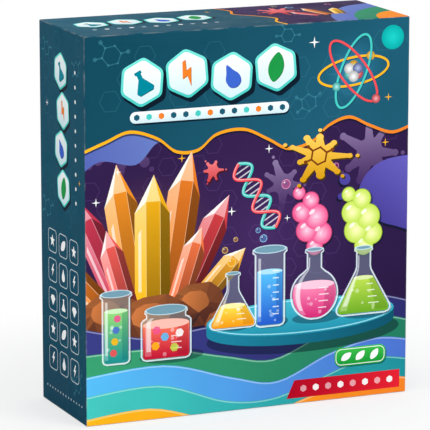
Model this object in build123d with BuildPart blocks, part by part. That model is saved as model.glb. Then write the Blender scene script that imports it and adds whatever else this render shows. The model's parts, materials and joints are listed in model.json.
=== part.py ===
"""Chemistry set case: a deep printed lid over a board base, with a formed tray that holds the kit.

The case stands on its lower side with its front toward -Y. Its origin is the middle of the face
that it stands on. Every length is in millimetres.
"""

from build123d import *
from collections import namedtuple
import math
import os

# ------------------------------------------------------------------ driving dimensions

# Lid and base, board boxes that telescope along Y
box_width = 243.0
box_depth = 86.0
box_height = 270.0
board = 1.5
board_edge_radius = 0.8
lid_fit = 0.4

# Booklet, folded down its left edge, flat on the tray
booklet_width = 170.0
booklet_height = 236.0
booklet_thickness = 1.6

# Formed plastic tray
tray_sheet = 1.0
tray_fit = 0.5
tray_corner_radius = 12.0
tray_draft = 2.0
lead_in = 0.8
lead_in_depth = 0.9
lead_in_angle = 45.0
pocket_corner_radius = 5.0
pocket_fit = 0.6
seat = 0.3

# Grooves across neighbouring pockets, where fingers reach in to lift the pieces out
grip_channel_height = 26.0
grip_channel_depth = 11.0

# Test tube rack, tubes and stoppers
rack_width = 112.0
rack_height = 62.0
rack_depth = 40.0
rack_wall = 5.0
rack_shelf = 6.0
rack_corner_radius = 18.0
rack_edge_radius = 1.5
rack_socket = 3.0
tube_count = 4
tube_pitch = 23.0
tube_radius = 8.0
tube_wall = 1.0
tube_length = 95.0
tube_lip = 1.2
tube_lip_height = 2.0
tube_fit = 0.3
stopper_plug = 8.0
stopper_head_radius = 9.0
stopper_head = 6.0
stopper_taper = 0.6
stopper_edge = 1.5
stopper_travel = 9.0

# Beaker, mouth toward the front
beaker_radius = 25.0
beaker_height = 62.0
beaker_wall = 1.4
beaker_lip = 1.2
beaker_lip_height = 2.0
beaker_base_radius = 3.0
spout_radius = 7.0
spout_inset = 2.5
spout_length = 12.0
spout_taper = 26.0

# Bottle and screw cap
bottle_radius = 16.0
bottle_body_height = 66.0
bottle_shoulder = 8.0
bottle_neck_radius = 8.0
bottle_neck_height = 12.0
bottle_wall = 1.2
bottle_base_radius = 3.0
cap_radius = 10.5
cap_wall = 1.4
cap_height = 13.0
cap_flutes = 16
flute_radius = 0.7
cap_fit = 0.3

# Dropper
dropper_radius = 3.5
dropper_wall = 1.0
dropper_tip_radius = 1.4
dropper_bore_radius = 0.6
dropper_length = 78.0
dropper_taper_length = 16.0
bulb_radius = 7.0
bulb_length = 30.0
bulb_collar_radius = 5.5
bulb_collar_height = 4.0
bulb_sleeve = 9.0
bulb_wall = 1.2
bulb_fit = 0.1

# Goggles
goggles_width = 138.0
goggles_height = 58.0
goggles_depth = 38.0
goggles_corner_radius = 24.0
goggles_wall = 2.4
nose_radius = 15.0
seal_lip = 4.0
seal_thickness = 2.5
lens_thickness = 1.8
lens_fit = 0.15
vent_radius = 1.8
vent_count = 5
vent_pitch = 12.0
strap_width = 16.0
strap_thickness = 1.4
strap_gap = 0.8
strap_bend_radius = 3.0
strap_end = 4.0
lug_thickness = 5.0
lug_wall = 1.6
lug_setback = 8.0

# Measuring spoon, stirring rod and funnel
spoon_bowl_radius = 11.0
spoon_wall = 1.2
spoon_length = 104.0
spoon_handle_width = 9.0
spoon_handle_thickness = 2.6
rod_radius = 2.5
rod_length = 112.0
rod_end_radius = 2.0
funnel_mouth_radius = 28.0
funnel_rim = 2.0
funnel_wall = 1.4
funnel_height = 60.0
funnel_stem_length = 26.0
funnel_stem_radius = 6.0
funnel_tip_radius = 4.8
funnel_rest_depth = 10.0

# Powder jars, lids toward the front
jar_count = 4
jar_radius = 16.0
jar_height = 28.0
jar_wall = 1.2
jar_neck_radius = 13.5
jar_neck_height = 8.0
jar_lid_radius = 16.5
jar_lid_wall = 1.4
jar_lid_height = 10.0
jar_lid_flutes = 20

# ------------------------------------------------------------------ levels from the front to the back

lid_rim = box_depth / 2
lid_inside = board - box_depth / 2
box_middle = box_height / 2
base_front = lid_inside + lid_fit
base_back = lid_rim
base_depth = base_back - base_front
base_floor = base_back - board
base_width = box_width - 2 * (board + lid_fit)
base_height = box_height - 2 * (board + lid_fit)
booklet_back = base_front + booklet_thickness
tray_flange = booklet_back + seat
tray_back = base_floor - seat
tray_depth = tray_back - tray_flange
tray_width = base_width - 2 * (board + tray_fit)
tray_height = base_height - 2 * (board + tray_fit)
draft_slope = math.tan(math.radians(tray_draft))

# ------------------------------------------------------------------ tray layout

Pocket = namedtuple("Pocket", "x z width height depth round")


def spread(lengths, span, middle):
    """Centres of pieces side by side over a span, with equal gaps at their sides."""
    gap = (span - sum(lengths)) / (len(lengths) + 1)
    centres = []
    start = middle - span / 2
    for length in lengths:
        start += gap
        centres.append(start + length / 2)
        start += length
    return centres


def mouth(size, depth):
    """Opening of a drafted pocket whose floor fits round a piece of this size."""
    return size + 2 * (pocket_fit + depth * draft_slope)


strap_path_reach = goggles_width / 2 + strap_gap + strap_thickness / 2
goggles_reach = strap_path_reach + strap_thickness / 2 + seat + lug_wall
goggles_total_depth = goggles_depth + strap_gap + strap_thickness
beaker_reach = beaker_radius - spout_inset + spout_radius
bottle_height = bottle_body_height + bottle_shoulder + bottle_neck_height
bottle_total = bottle_height + cap_wall + cap_fit
tube_stack = rack_shelf - rack_socket + tube_length + stopper_head + stopper_travel
dropper_total = dropper_length + bulb_length - bulb_sleeve
jar_total = jar_height + cap_fit + jar_lid_height

goggles_pocket_depth = goggles_total_depth + 2 * seat
funnel_pocket_depth = funnel_height + 2 * seat
rack_pocket_depth = rack_depth + 2 * seat
bottle_pocket_depth = 2 * (bottle_radius + seat)
dropper_pocket_depth = 2 * (bulb_radius + seat)
spoon_pocket_depth = spoon_bowl_radius + 2 * seat
rod_pocket_depth = 2 * (rod_radius + seat)
jar_pocket_depth = jar_total + 2 * seat
beaker_pocket_depth = beaker_height + 2 * seat

goggles_mouth = mouth(2 * goggles_reach, goggles_pocket_depth)
goggles_mouth_height = mouth(goggles_height, goggles_pocket_depth)
funnel_mouth = mouth(2 * funnel_mouth_radius, funnel_rest_depth)
rack_mouth = mouth(rack_width, rack_pocket_depth)
rack_mouth_height = mouth(tube_stack, rack_pocket_depth)
bottle_mouth = mouth(2 * bottle_radius, bottle_pocket_depth)
bottle_mouth_height = mouth(bottle_total, bottle_pocket_depth)
dropper_mouth = mouth(2 * bulb_radius, dropper_pocket_depth)
dropper_mouth_height = mouth(dropper_total, dropper_pocket_depth)
spoon_mouth = mouth(2 * spoon_bowl_radius, spoon_pocket_depth)
spoon_mouth_height = mouth(spoon_length, spoon_pocket_depth)
rod_mouth = mouth(2 * rod_radius, rod_pocket_depth)
rod_mouth_height = mouth(rod_length, rod_pocket_depth)
jar_mouth = mouth(2 * jar_lid_radius, jar_pocket_depth)
beaker_mouth = mouth(2 * beaker_reach, beaker_pocket_depth)

flange_width = tray_width - 2 * tray_depth * draft_slope
flange_height = tray_height - 2 * tray_depth * draft_slope
bottom_row_z, middle_row_z, top_row_z = spread(
    [beaker_mouth, rack_mouth_height, goggles_mouth_height], flange_height, box_middle
)
goggles_x, funnel_x = spread([goggles_mouth, funnel_mouth], flange_width, 0)
rack_x, bottle_x, dropper_x, spoon_x, rod_x = spread(
    [rack_mouth, bottle_mouth, dropper_mouth, spoon_mouth, rod_mouth], flange_width, 0
)
*jar_xs, beaker_x = spread([jar_mouth] * jar_count + [beaker_mouth], flange_width, 0)

grip_left = bottle_x - bottle_mouth / 2
grip_right = rod_x + rod_mouth / 2
jar_grip_left = jar_xs[0]
jar_grip_right = jar_xs[-1]

pockets = [
    Pocket(goggles_x, top_row_z, goggles_mouth, goggles_mouth_height, goggles_pocket_depth, False),
    Pocket(funnel_x, top_row_z, funnel_mouth, funnel_mouth, funnel_rest_depth, True),
    Pocket(rack_x, middle_row_z, rack_mouth, rack_mouth_height, rack_pocket_depth, False),
    Pocket(bottle_x, middle_row_z, bottle_mouth, bottle_mouth_height, bottle_pocket_depth, False),
    Pocket(dropper_x, middle_row_z, dropper_mouth, dropper_mouth_height, dropper_pocket_depth, False),
    Pocket(spoon_x, middle_row_z, spoon_mouth, spoon_mouth_height, spoon_pocket_depth, False),
    Pocket(rod_x, middle_row_z, rod_mouth, rod_mouth_height, rod_pocket_depth, False),
    Pocket(beaker_x, bottom_row_z, beaker_mouth, beaker_mouth, beaker_pocket_depth, True),
    Pocket(
        (grip_left + grip_right) / 2,
        middle_row_z,
        grip_right - grip_left,
        grip_channel_height,
        grip_channel_depth,
        False,
    ),
    Pocket(
        (jar_grip_left + jar_grip_right) / 2,
        bottom_row_z,
        jar_grip_right - jar_grip_left,
        grip_channel_height / 2,
        grip_channel_depth,
        False,
    ),
]
pockets += [Pocket(x, bottom_row_z, jar_mouth, jar_mouth, jar_pocket_depth, True) for x in jar_xs]

# The well for the funnel's cone goes on below the rest for its rim
funnel_slope = (funnel_mouth_radius - funnel_stem_radius) / (funnel_height - funnel_stem_length - funnel_rim)
funnel_well_radius = funnel_mouth_radius - (funnel_rest_depth - funnel_rim) * funnel_slope
funnel_well = mouth(2 * funnel_well_radius, funnel_rest_depth)
pockets.append(Pocket(funnel_x, top_row_z, funnel_well, funnel_well, funnel_pocket_depth, True))

# ------------------------------------------------------------------ planes and small helpers


def facing_front(y):
    """Plane across the box at this depth, looking forward: its x is X and its y is Z."""
    return Plane(origin=(0, y, 0), x_dir=(1, 0, 0), z_dir=(0, -1, 0))


def upright(x, y, z):
    """Plane through the axis of a piece that stands along Z: its x is a radius, its y a height."""
    return Plane(origin=(x, y, z), x_dir=(1, 0, 0), z_dir=(0, -1, 0))


def forward(x, y, z):
    """Plane through the axis of a piece whose mouth faces the front: its y runs forward."""
    return Plane(origin=(x, y, z), x_dir=(1, 0, 0), z_dir=(0, 0, -1))


def turn(outline, plane):
    """Revolve a half section about the plane's own y axis."""
    revolve(outline.sketch, axis=Axis(plane.origin, plane.y_dir))


def finish(part, name):
    """Name a piece and write its file."""
    part.label = name
    export_step(part, f"parts/{name}.step")


os.makedirs("parts", exist_ok=True)

# ------------------------------------------------------------------ lid and base

with BuildPart() as lid:
    with BuildSketch(facing_front(lid_rim)):
        with Locations((0, box_middle)):
            RectangleRounded(box_width, box_height, board_edge_radius)
    extrude(amount=box_depth)
    fillet(lid.faces().sort_by(Axis.Y)[0].edges(), board_edge_radius)
    with BuildSketch(facing_front(lid_rim)):
        with Locations((0, box_middle)):
            Rectangle(box_width - 2 * board, box_height - 2 * board)
    extrude(amount=box_depth - board, mode=Mode.SUBTRACT)
finish(lid.part, "lid")

with BuildPart() as base:
    with BuildSketch(facing_front(base_back)):
        with Locations((0, box_middle)):
            RectangleRounded(base_width, base_height, board_edge_radius)
    extrude(amount=base_depth)
    fillet(base.faces().sort_by(Axis.Y)[-1].edges(), board_edge_radius)
    with BuildSketch(facing_front(base_floor)):
        with Locations((0, box_middle)):
            Rectangle(base_width - 2 * board, base_height - 2 * board)
    extrude(amount=base_depth, mode=Mode.SUBTRACT)
finish(base.part, "base")

# ------------------------------------------------------------------ booklet

with BuildPart() as instruction_booklet:
    with BuildSketch(facing_front(booklet_back)):
        with Locations((0, box_middle)):
            Rectangle(booklet_width, booklet_height)
    extrude(amount=booklet_thickness)
    spine = instruction_booklet.edges().filter_by(Axis.Z).group_by(Axis.X)[0]
    fillet(spine, 0.45 * booklet_thickness)
finish(instruction_booklet.part, "instruction_booklet")

# ------------------------------------------------------------------ insert tray


def tapered_block(middle, size, corner, y, reach, taper):
    """Rounded block from one depth forward, or backward for a minus reach, with sides that lean in."""
    start = facing_front(y)
    with BuildPart() as block:
        with BuildSketch(start):
            with Locations(middle):
                RectangleRounded(*size, corner)
        extrude(amount=reach)
        sides = [face for face in block.faces() if abs(face.normal_at().Y) < 0.5]
        draft(sides, neutral_plane=start, angle=math.copysign(taper, reach))
    return block.part


def sink(pocket, grow, depth, taper, mode):
    """One tapered pocket from the flange backward, with its mouth grown on every side."""
    if pocket.round:
        radius = pocket.width / 2 + grow
        narrowing = depth * math.tan(math.radians(taper))
        with Locations(Location((pocket.x, tray_flange, pocket.z), (-90, 0, 0))):
            Cone(radius, radius - narrowing, depth, align=(Align.CENTER, Align.CENTER, Align.MIN), mode=mode)
    else:
        corner = min(pocket_corner_radius, 0.45 * min(pocket.width, pocket.height)) + grow
        size = (pocket.width + 2 * grow, pocket.height + 2 * grow)
        add(tapered_block((pocket.x, pocket.z), size, corner, tray_flange, -depth, taper), mode=mode)


with BuildPart() as insert_tray:
    # The skirt stands on the floor of the base and leans in toward the flange
    skirt = (tray_width, tray_height)
    hollow = (tray_width - 2 * tray_sheet, tray_height - 2 * tray_sheet)
    add(tapered_block((0, box_middle), skirt, tray_corner_radius, tray_back, tray_depth, tray_draft))
    chamfer(insert_tray.faces().sort_by(Axis.Y)[0].edges(), lead_in)
    add(
        tapered_block(
            (0, box_middle),
            hollow,
            tray_corner_radius - tray_sheet,
            tray_back,
            tray_depth - tray_sheet,
            tray_draft,
        ),
        mode=Mode.SUBTRACT,
    )
    for pocket in pockets:
        sink(pocket, tray_sheet, pocket.depth + tray_sheet, tray_draft, Mode.ADD)
    for pocket in pockets:
        sink(pocket, 0, pocket.depth, tray_draft, Mode.SUBTRACT)
        sink(pocket, lead_in, lead_in_depth, lead_in_angle, Mode.SUBTRACT)
finish(insert_tray.part, "insert_tray")

# ------------------------------------------------------------------ rack, tubes and stoppers

rack_y = tray_flange + seat + rack_depth / 2
rack_bottom = middle_row_z - tube_stack / 2
rack_top = rack_bottom + rack_height
tube_bottom = rack_bottom + rack_shelf - rack_socket
tube_xs = [rack_x + (i - (tube_count - 1) / 2) * tube_pitch for i in range(tube_count)]

with BuildPart() as test_tube_rack:
    with BuildSketch(facing_front(rack_y)):
        with Locations((rack_x, rack_bottom + rack_height / 2)):
            RectangleRounded(rack_width, rack_height, rack_corner_radius)
    extrude(amount=rack_depth / 2, both=True)
    fillet(test_tube_rack.faces().filter_by(Axis.Y).edges(), rack_edge_radius)
    with BuildSketch(facing_front(rack_y)):
        with Locations((rack_x, rack_bottom + rack_height / 2)):
            RectangleRounded(
                rack_width - 2 * rack_wall, rack_height - 2 * rack_shelf, rack_corner_radius - rack_wall
            )
    extrude(amount=rack_depth, both=True, mode=Mode.SUBTRACT)
    with BuildSketch(Plane.XY.offset(rack_top)):
        with Locations(*[(x, rack_y) for x in tube_xs]):
            Circle(tube_radius + tube_fit)
    extrude(amount=-rack_height / 2, mode=Mode.SUBTRACT)
    # Cups that the round tube ends stand in
    with Locations(*[(x, rack_y, tube_bottom + tube_radius) for x in tube_xs]):
        Sphere(tube_radius + tube_fit, mode=Mode.SUBTRACT)
finish(test_tube_rack.part, "test_tube_rack")


def make_test_tube(x):
    """Round-ended tube with a turned-out lip."""
    plane = upright(x, rack_y, tube_bottom)
    bore = tube_radius - tube_wall
    with BuildPart() as test_tube:
        with BuildSketch(plane) as outline:
            with BuildLine():
                CenterArc((0, tube_radius), tube_radius, -90, 90)
                Polyline(
                    (tube_radius, tube_radius),
                    (tube_radius, tube_length - tube_lip_height),
                    (tube_radius + tube_lip, tube_length - tube_lip_height / 2),
                    (tube_radius + tube_lip, tube_length),
                    (bore, tube_length),
                    (bore, tube_radius),
                )
                CenterArc((0, tube_radius), bore, 0, -90)
                Line((0, tube_wall), (0, 0))
            make_face()
        turn(outline, plane)
    return test_tube.part


def make_stopper(x):
    """Tapered plug with a bevelled head, a little above the lip of its tube."""
    plane = upright(x, rack_y, tube_bottom + tube_length)
    plug_radius = tube_radius - tube_wall - tube_fit
    with BuildPart() as stopper:
        with BuildSketch(plane) as outline:
            with BuildLine():
                Polyline(
                    (0, -stopper_plug),
                    (plug_radius - stopper_taper, -stopper_plug),
                    (plug_radius, seat),
                    (stopper_head_radius, seat),
                    (stopper_head_radius, stopper_head - stopper_edge),
                    (stopper_head_radius - stopper_edge, stopper_head),
                    (0, stopper_head),
                    close=True,
                )
            make_face()
        turn(outline, plane)
    return stopper.part


for number, tube_x in enumerate(tube_xs, start=1):
    finish(make_test_tube(tube_x), f"test_tube_{number}")
    finish(make_stopper(tube_x), f"tube_stopper_{number}")

# ------------------------------------------------------------------ beaker

beaker_front = tray_flange + seat
beaker_back = beaker_front + beaker_height
spout_z = bottom_row_z + beaker_radius - spout_inset

with BuildPart() as beaker:
    with BuildSketch(facing_front(beaker_back)):
        with Locations((beaker_x, bottom_row_z)):
            Circle(beaker_radius)
    extrude(amount=beaker_height)
    fillet(beaker.faces().sort_by(Axis.Y)[-1].edges(), beaker_base_radius)
    with BuildSketch(facing_front(beaker_front)):
        with Locations((beaker_x, bottom_row_z)):
            Circle(beaker_radius + beaker_lip)
    extrude(amount=-beaker_lip_height)
    with BuildSketch(facing_front(beaker_front)):
        with Locations((beaker_x, spout_z)):
            Circle(spout_radius)
    extrude(amount=-spout_length, taper=spout_taper)
    with BuildSketch(facing_front(beaker_back - beaker_wall)):
        with Locations((beaker_x, bottom_row_z)):
            Circle(beaker_radius - beaker_wall)
    extrude(amount=beaker_height, mode=Mode.SUBTRACT)
    with BuildSketch(facing_front(beaker_front)):
        with Locations((beaker_x, spout_z)):
            Circle(spout_radius - beaker_wall)
    extrude(amount=-(spout_length - beaker_wall), taper=spout_taper, mode=Mode.SUBTRACT)
finish(beaker.part, "beaker")

# ------------------------------------------------------------------ bottle and cap

bottle_y = tray_flange + seat + bottle_radius
bottle_bottom = middle_row_z - bottle_total / 2
bottle_plane = upright(bottle_x, bottle_y, bottle_bottom)
neck_base = bottle_body_height + bottle_shoulder

with BuildPart() as bottle:
    with BuildSketch(bottle_plane) as bottle_outline:
        with BuildLine():
            Line((0, 0), (bottle_radius - bottle_base_radius, 0))
            CenterArc((bottle_radius - bottle_base_radius, bottle_base_radius), bottle_base_radius, -90, 90)
            Line((bottle_radius, bottle_base_radius), (bottle_radius, bottle_body_height))
            TangentArc(
                (bottle_radius, bottle_body_height), (bottle_neck_radius, neck_base), tangent=(0, 1)
            )
            Polyline(
                (bottle_neck_radius, neck_base),
                (bottle_neck_radius, bottle_height),
                (bottle_neck_radius - bottle_wall, bottle_height),
                (bottle_neck_radius - bottle_wall, neck_base - bottle_wall),
            )
            TangentArc(
                (bottle_radius - bottle_wall, bottle_body_height),
                (bottle_neck_radius - bottle_wall, neck_base - bottle_wall),
                tangent=(0, 1),
            )
            Polyline(
                (bottle_radius - bottle_wall, bottle_body_height),
                (bottle_radius - bottle_wall, bottle_base_radius),
                (bottle_radius - bottle_base_radius, bottle_wall),
                (0, bottle_wall),
                (0, 0),
            )
        make_face()
    turn(bottle_outline, bottle_plane)
finish(bottle.part, "bottle")


def make_screw_cap(plane, neck, inner_height, radius, wall, height, flutes):
    """Cup-shaped cap over a neck, open toward the plane's origin, with grip flutes round its side."""
    with BuildPart() as cap:
        with BuildSketch(plane) as outline:
            with BuildLine():
                Polyline(
                    (neck + cap_fit, inner_height - (height - wall)),
                    (radius, inner_height - (height - wall)),
                    (radius, inner_height + wall),
                    (0, inner_height + wall),
                    (0, inner_height),
                    (neck + cap_fit, inner_height),
                    close=True,
                )
            make_face()
        turn(outline, plane)
        across = Plane(plane.origin, x_dir=plane.x_dir, z_dir=plane.y_dir)
        with BuildSketch(across.offset(inner_height + wall)) as grips:
            with PolarLocations(radius, flutes):
                RegularPolygon(flute_radius, 4)
        extrude(grips.sketch, amount=-(height - wall), mode=Mode.SUBTRACT)
    return cap.part


bottle_cap = make_screw_cap(
    bottle_plane, bottle_neck_radius, bottle_height + cap_fit, cap_radius, cap_wall, cap_height, cap_flutes
)
finish(bottle_cap, "bottle_cap")

# ------------------------------------------------------------------ powder jars

jar_back = tray_flange + seat + jar_total
jar_rim = jar_height + jar_neck_height
jar_lid_inside = jar_total - jar_lid_wall


def make_jar(x):
    """Straight-sided jar with a stepped-in neck."""
    plane = forward(x, jar_back, bottom_row_z)
    with BuildPart() as jar:
        with BuildSketch(plane) as outline:
            with BuildLine():
                Polyline(
                    (0, 0),
                    (jar_radius, 0),
                    (jar_radius, jar_height),
                    (jar_neck_radius, jar_height),
                    (jar_neck_radius, jar_rim),
                    (jar_neck_radius - jar_wall, jar_rim),
                    (jar_neck_radius - jar_wall, jar_height - jar_wall),
                    (jar_radius - jar_wall, jar_height - jar_wall),
                    (jar_radius - jar_wall, jar_wall),
                    (0, jar_wall),
                    close=True,
                )
            make_face()
        turn(outline, plane)
    return jar.part


for number, jar_x in enumerate(jar_xs, start=1):
    finish(make_jar(jar_x), f"powder_jar_{number}")
    jar_lid = make_screw_cap(
        forward(jar_x, jar_back, bottom_row_z),
        jar_neck_radius,
        jar_lid_inside,
        jar_lid_radius,
        jar_lid_wall,
        jar_lid_height,
        jar_lid_flutes,
    )
    finish(jar_lid, f"jar_lid_{number}")

# ------------------------------------------------------------------ dropper

dropper_y = tray_flange + seat + bulb_radius
dropper_bottom = middle_row_z - dropper_total / 2
dropper_plane = upright(dropper_x, dropper_y, dropper_bottom)
bulb_bottom = dropper_length - bulb_sleeve
bulb_top = bulb_bottom + bulb_length

with BuildPart() as dropper_tube:
    with BuildSketch(dropper_plane) as dropper_outline:
        with BuildLine():
            Polyline(
                (dropper_bore_radius, 0),
                (dropper_tip_radius, 0),
                (dropper_radius, dropper_taper_length),
                (dropper_radius, dropper_length),
                (dropper_radius - dropper_wall, dropper_length),
                (dropper_radius - dropper_wall, dropper_taper_length),
                close=True,
            )
        make_face()
    turn(dropper_outline, dropper_plane)
finish(dropper_tube.part, "dropper_tube")

with BuildPart() as dropper_bulb:
    with BuildSketch(dropper_plane) as bulb_outline:
        with BuildLine():
            Polyline(
                (dropper_radius + bulb_fit, bulb_bottom),
                (bulb_collar_radius, bulb_bottom),
                (bulb_collar_radius, bulb_bottom + bulb_collar_height),
                (dropper_radius + bulb_fit + bulb_wall, bulb_bottom + bulb_collar_height),
            )
            Line(
                (dropper_radius + bulb_fit + bulb_wall, bulb_bottom + bulb_collar_height),
                (bulb_radius, bulb_top - bulb_radius),
            )
            CenterArc((0, bulb_top - bulb_radius), bulb_radius, 0, 90)
            Line((0, bulb_top), (0, bulb_top - bulb_wall))
            CenterArc((0, bulb_top - bulb_radius), bulb_radius - bulb_wall, 90, -90)
            Line((bulb_radius - bulb_wall, bulb_top - bulb_radius), (dropper_radius + bulb_fit, dropper_length))
            Line((dropper_radius + bulb_fit, dropper_length), (dropper_radius + bulb_fit, bulb_bottom))
        make_face()
    turn(bulb_outline, dropper_plane)
finish(dropper_bulb.part, "dropper_bulb")

# ------------------------------------------------------------------ goggles

goggles_front = tray_flange + seat
goggles_back = goggles_front + goggles_depth
lug_back = goggles_front + lug_setback + lug_thickness
strap_y = goggles_back + strap_gap + strap_thickness / 2
strap_slot = strap_thickness + 2 * seat


def goggles_outline(inset):
    """Outline across both eyes, cut in over the nose, drawn smaller by the inset."""
    with Locations((goggles_x, top_row_z)):
        RectangleRounded(
            goggles_width - 2 * inset, goggles_height - 2 * inset, goggles_corner_radius - inset
        )
    with Locations((goggles_x, top_row_z - goggles_height / 2)):
        Circle(nose_radius + inset, mode=Mode.SUBTRACT)


with BuildPart() as goggles_frame:
    with BuildSketch(facing_front(goggles_back)):
        goggles_outline(0)
    extrude(amount=seal_thickness)
    with BuildSketch(facing_front(goggles_back)):
        goggles_outline(seal_lip)
    extrude(amount=goggles_depth)
    # Lugs that the strap ends pass through, one at each side
    with BuildSketch(facing_front(lug_back)):
        with Locations((goggles_x, top_row_z)):
            Rectangle(2 * goggles_reach, strap_width + 2 * (seat + lug_wall))
    extrude(amount=lug_thickness)
    with BuildSketch(facing_front(lug_back)):
        with Locations((goggles_x - strap_path_reach, top_row_z), (goggles_x + strap_path_reach, top_row_z)):
            Rectangle(strap_slot, strap_width + 2 * seat)
    extrude(amount=lug_thickness, mode=Mode.SUBTRACT)
    with BuildSketch(facing_front(goggles_back)):
        goggles_outline(seal_lip + goggles_wall)
    extrude(amount=goggles_depth, mode=Mode.SUBTRACT)
    # Step that the lens sits in
    with BuildSketch(facing_front(goggles_front)):
        goggles_outline(seal_lip + goggles_wall / 2)
    extrude(amount=-(lens_thickness + lens_fit), mode=Mode.SUBTRACT)
    # Vents through the top
    with BuildSketch(Plane.XY.offset(top_row_z + goggles_height / 2)):
        with Locations((goggles_x, (goggles_front + goggles_back) / 2)):
            with GridLocations(vent_pitch, 0, vent_count, 1):
                Circle(vent_radius)
    extrude(amount=-(seal_lip + 2 * goggles_wall), mode=Mode.SUBTRACT)
finish(goggles_frame.part, "goggles_frame")

with BuildPart() as goggles_lens:
    with BuildSketch(facing_front(goggles_front)):
        goggles_outline(seal_lip + goggles_wall / 2 + lens_fit)
    extrude(amount=-lens_thickness)
finish(goggles_lens.part, "goggles_lens")

with BuildPart() as goggles_strap:
    with BuildSketch(Plane.XY.offset(top_row_z - strap_width / 2)):
        with BuildLine():
            FilletPolyline(
                (goggles_x - strap_path_reach, lug_back - lug_thickness - strap_end),
                (goggles_x - strap_path_reach, strap_y),
                (goggles_x + strap_path_reach, strap_y),
                (goggles_x + strap_path_reach, lug_back - lug_thickness - strap_end),
                radius=strap_bend_radius,
            )
        trace(line_width=strap_thickness)
    extrude(amount=strap_width)
finish(goggles_strap.part, "goggles_strap")

# ------------------------------------------------------------------ spoon, rod and funnel

spoon_rim = tray_flange + seat
bowl_z = middle_row_z - spoon_length / 2 + spoon_bowl_radius
handle_length = spoon_length - spoon_bowl_radius

with BuildPart() as measuring_spoon:
    with Locations((spoon_x, spoon_rim, bowl_z)):
        Sphere(spoon_bowl_radius)
    split(bisect_by=facing_front(spoon_rim), keep=Keep.BOTTOM)
    with BuildSketch(facing_front(spoon_rim)):
        with Locations((spoon_x, bowl_z + handle_length / 2)):
            SlotOverall(handle_length, spoon_handle_width, rotation=90)
    extrude(amount=-spoon_handle_thickness)
    with Locations((spoon_x, spoon_rim, bowl_z)):
        Sphere(spoon_bowl_radius - spoon_wall, mode=Mode.SUBTRACT)
finish(measuring_spoon.part, "measuring_spoon")

rod_y = tray_flange + seat + rod_radius
rod_bottom = middle_row_z - rod_length / 2

with BuildPart() as stirring_rod:
    with BuildSketch(Plane.XY.offset(rod_bottom)):
        with Locations((rod_x, rod_y)):
            Circle(rod_radius)
    extrude(amount=rod_length)
    fillet(stirring_rod.edges().filter_by(GeomType.CIRCLE), rod_end_radius)
finish(stirring_rod.part, "stirring_rod")

funnel_back = tray_flange + seat + funnel_height
funnel_plane = forward(funnel_x, funnel_back, top_row_z)

with BuildPart() as funnel:
    with BuildSketch(funnel_plane) as funnel_outline:
        with BuildLine():
            Polyline(
                (funnel_tip_radius - funnel_wall, 0),
                (funnel_tip_radius, 0),
                (funnel_stem_radius, funnel_stem_length),
                (funnel_mouth_radius, funnel_height - funnel_rim),
                (funnel_mouth_radius, funnel_height),
                (funnel_mouth_radius - funnel_wall, funnel_height),
                (funnel_stem_radius - funnel_wall, funnel_stem_length + funnel_wall),
                close=True,
            )
        make_face()
    turn(funnel_outline, funnel_plane)
finish(funnel.part, "funnel")
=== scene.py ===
# %% [markdown]
# # Chemistry set case
# The case is a deep printed lid that slides over a board base. All solid pieces come from the
# frame at their real size and place. This script gives every surface its finish, and lays the
# printed artwork on the lid and the booklet.

# %% Load the frame
import json
import math
import random

import bmesh
import bpy
import numpy as np
from mathutils import Matrix, Vector
from mathutils.geometry import delaunay_2d_cdt

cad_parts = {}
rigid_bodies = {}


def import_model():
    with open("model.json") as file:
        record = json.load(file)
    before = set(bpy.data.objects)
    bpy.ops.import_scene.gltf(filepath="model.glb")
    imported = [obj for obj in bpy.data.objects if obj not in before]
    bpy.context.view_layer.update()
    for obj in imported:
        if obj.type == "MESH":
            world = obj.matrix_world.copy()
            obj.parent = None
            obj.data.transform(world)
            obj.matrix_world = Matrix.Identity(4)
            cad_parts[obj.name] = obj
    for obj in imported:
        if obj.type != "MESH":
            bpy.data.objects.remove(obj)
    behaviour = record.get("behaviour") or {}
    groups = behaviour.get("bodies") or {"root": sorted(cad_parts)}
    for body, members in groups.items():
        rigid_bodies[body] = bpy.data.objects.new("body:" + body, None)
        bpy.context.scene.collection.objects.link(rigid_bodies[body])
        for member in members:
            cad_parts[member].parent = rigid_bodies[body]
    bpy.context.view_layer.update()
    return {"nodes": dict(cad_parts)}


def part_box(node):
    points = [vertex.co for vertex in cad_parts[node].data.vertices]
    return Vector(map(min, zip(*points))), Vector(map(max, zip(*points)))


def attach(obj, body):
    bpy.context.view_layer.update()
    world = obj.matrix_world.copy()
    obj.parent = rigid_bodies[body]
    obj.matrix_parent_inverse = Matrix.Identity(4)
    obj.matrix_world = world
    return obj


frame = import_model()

MM = 0.001
pieces = frame["nodes"]
lid_low, lid_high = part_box("lid")
case_width, case_depth, case_height = ((end - start) / MM for start, end in zip(lid_low, lid_high))
four = range(1, 5)
print("case", round(case_width), "x", round(case_depth), "x", round(case_height), "mm")

# %% [markdown]
# ## Camera
# A long lens from a little to the left and above shows the front, the left side and the top,
# with upright edges that stay nearly parallel. The camera sits on a line from a point in the
# middle of the case, so turning that line is all it takes to look from elsewhere.

# %% Camera


def add_object(name, data):
    """A new object of the scene that shows this data."""
    item = bpy.data.objects.new(name, data)
    bpy.context.scene.collection.objects.link(item)
    return item


camera_azimuth = math.radians(-23.04)
camera_elevation = math.radians(11.83)
camera_distance = 2.34
camera_target = Vector((-0.0065, 0.0028, 0.1301))
toward_camera = Vector((
    math.sin(camera_azimuth) * math.cos(camera_elevation),
    -math.cos(camera_azimuth) * math.cos(camera_elevation),
    math.sin(camera_elevation),
))
camera_data = bpy.data.cameras.new("camera")
camera_data.lens = 278.8
camera_data.sensor_width = 36.0
camera_data.clip_end = 60.0
camera = add_object("camera", camera_data)
camera.location = camera_target + toward_camera * camera_distance
camera.rotation_euler = toward_camera.to_track_quat("Z", "Y").to_euler()
bpy.context.scene.camera = camera
bpy.context.scene.view_settings.view_transform = "Standard"
print("camera at", [round(value, 2) for value in camera.location])

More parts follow.
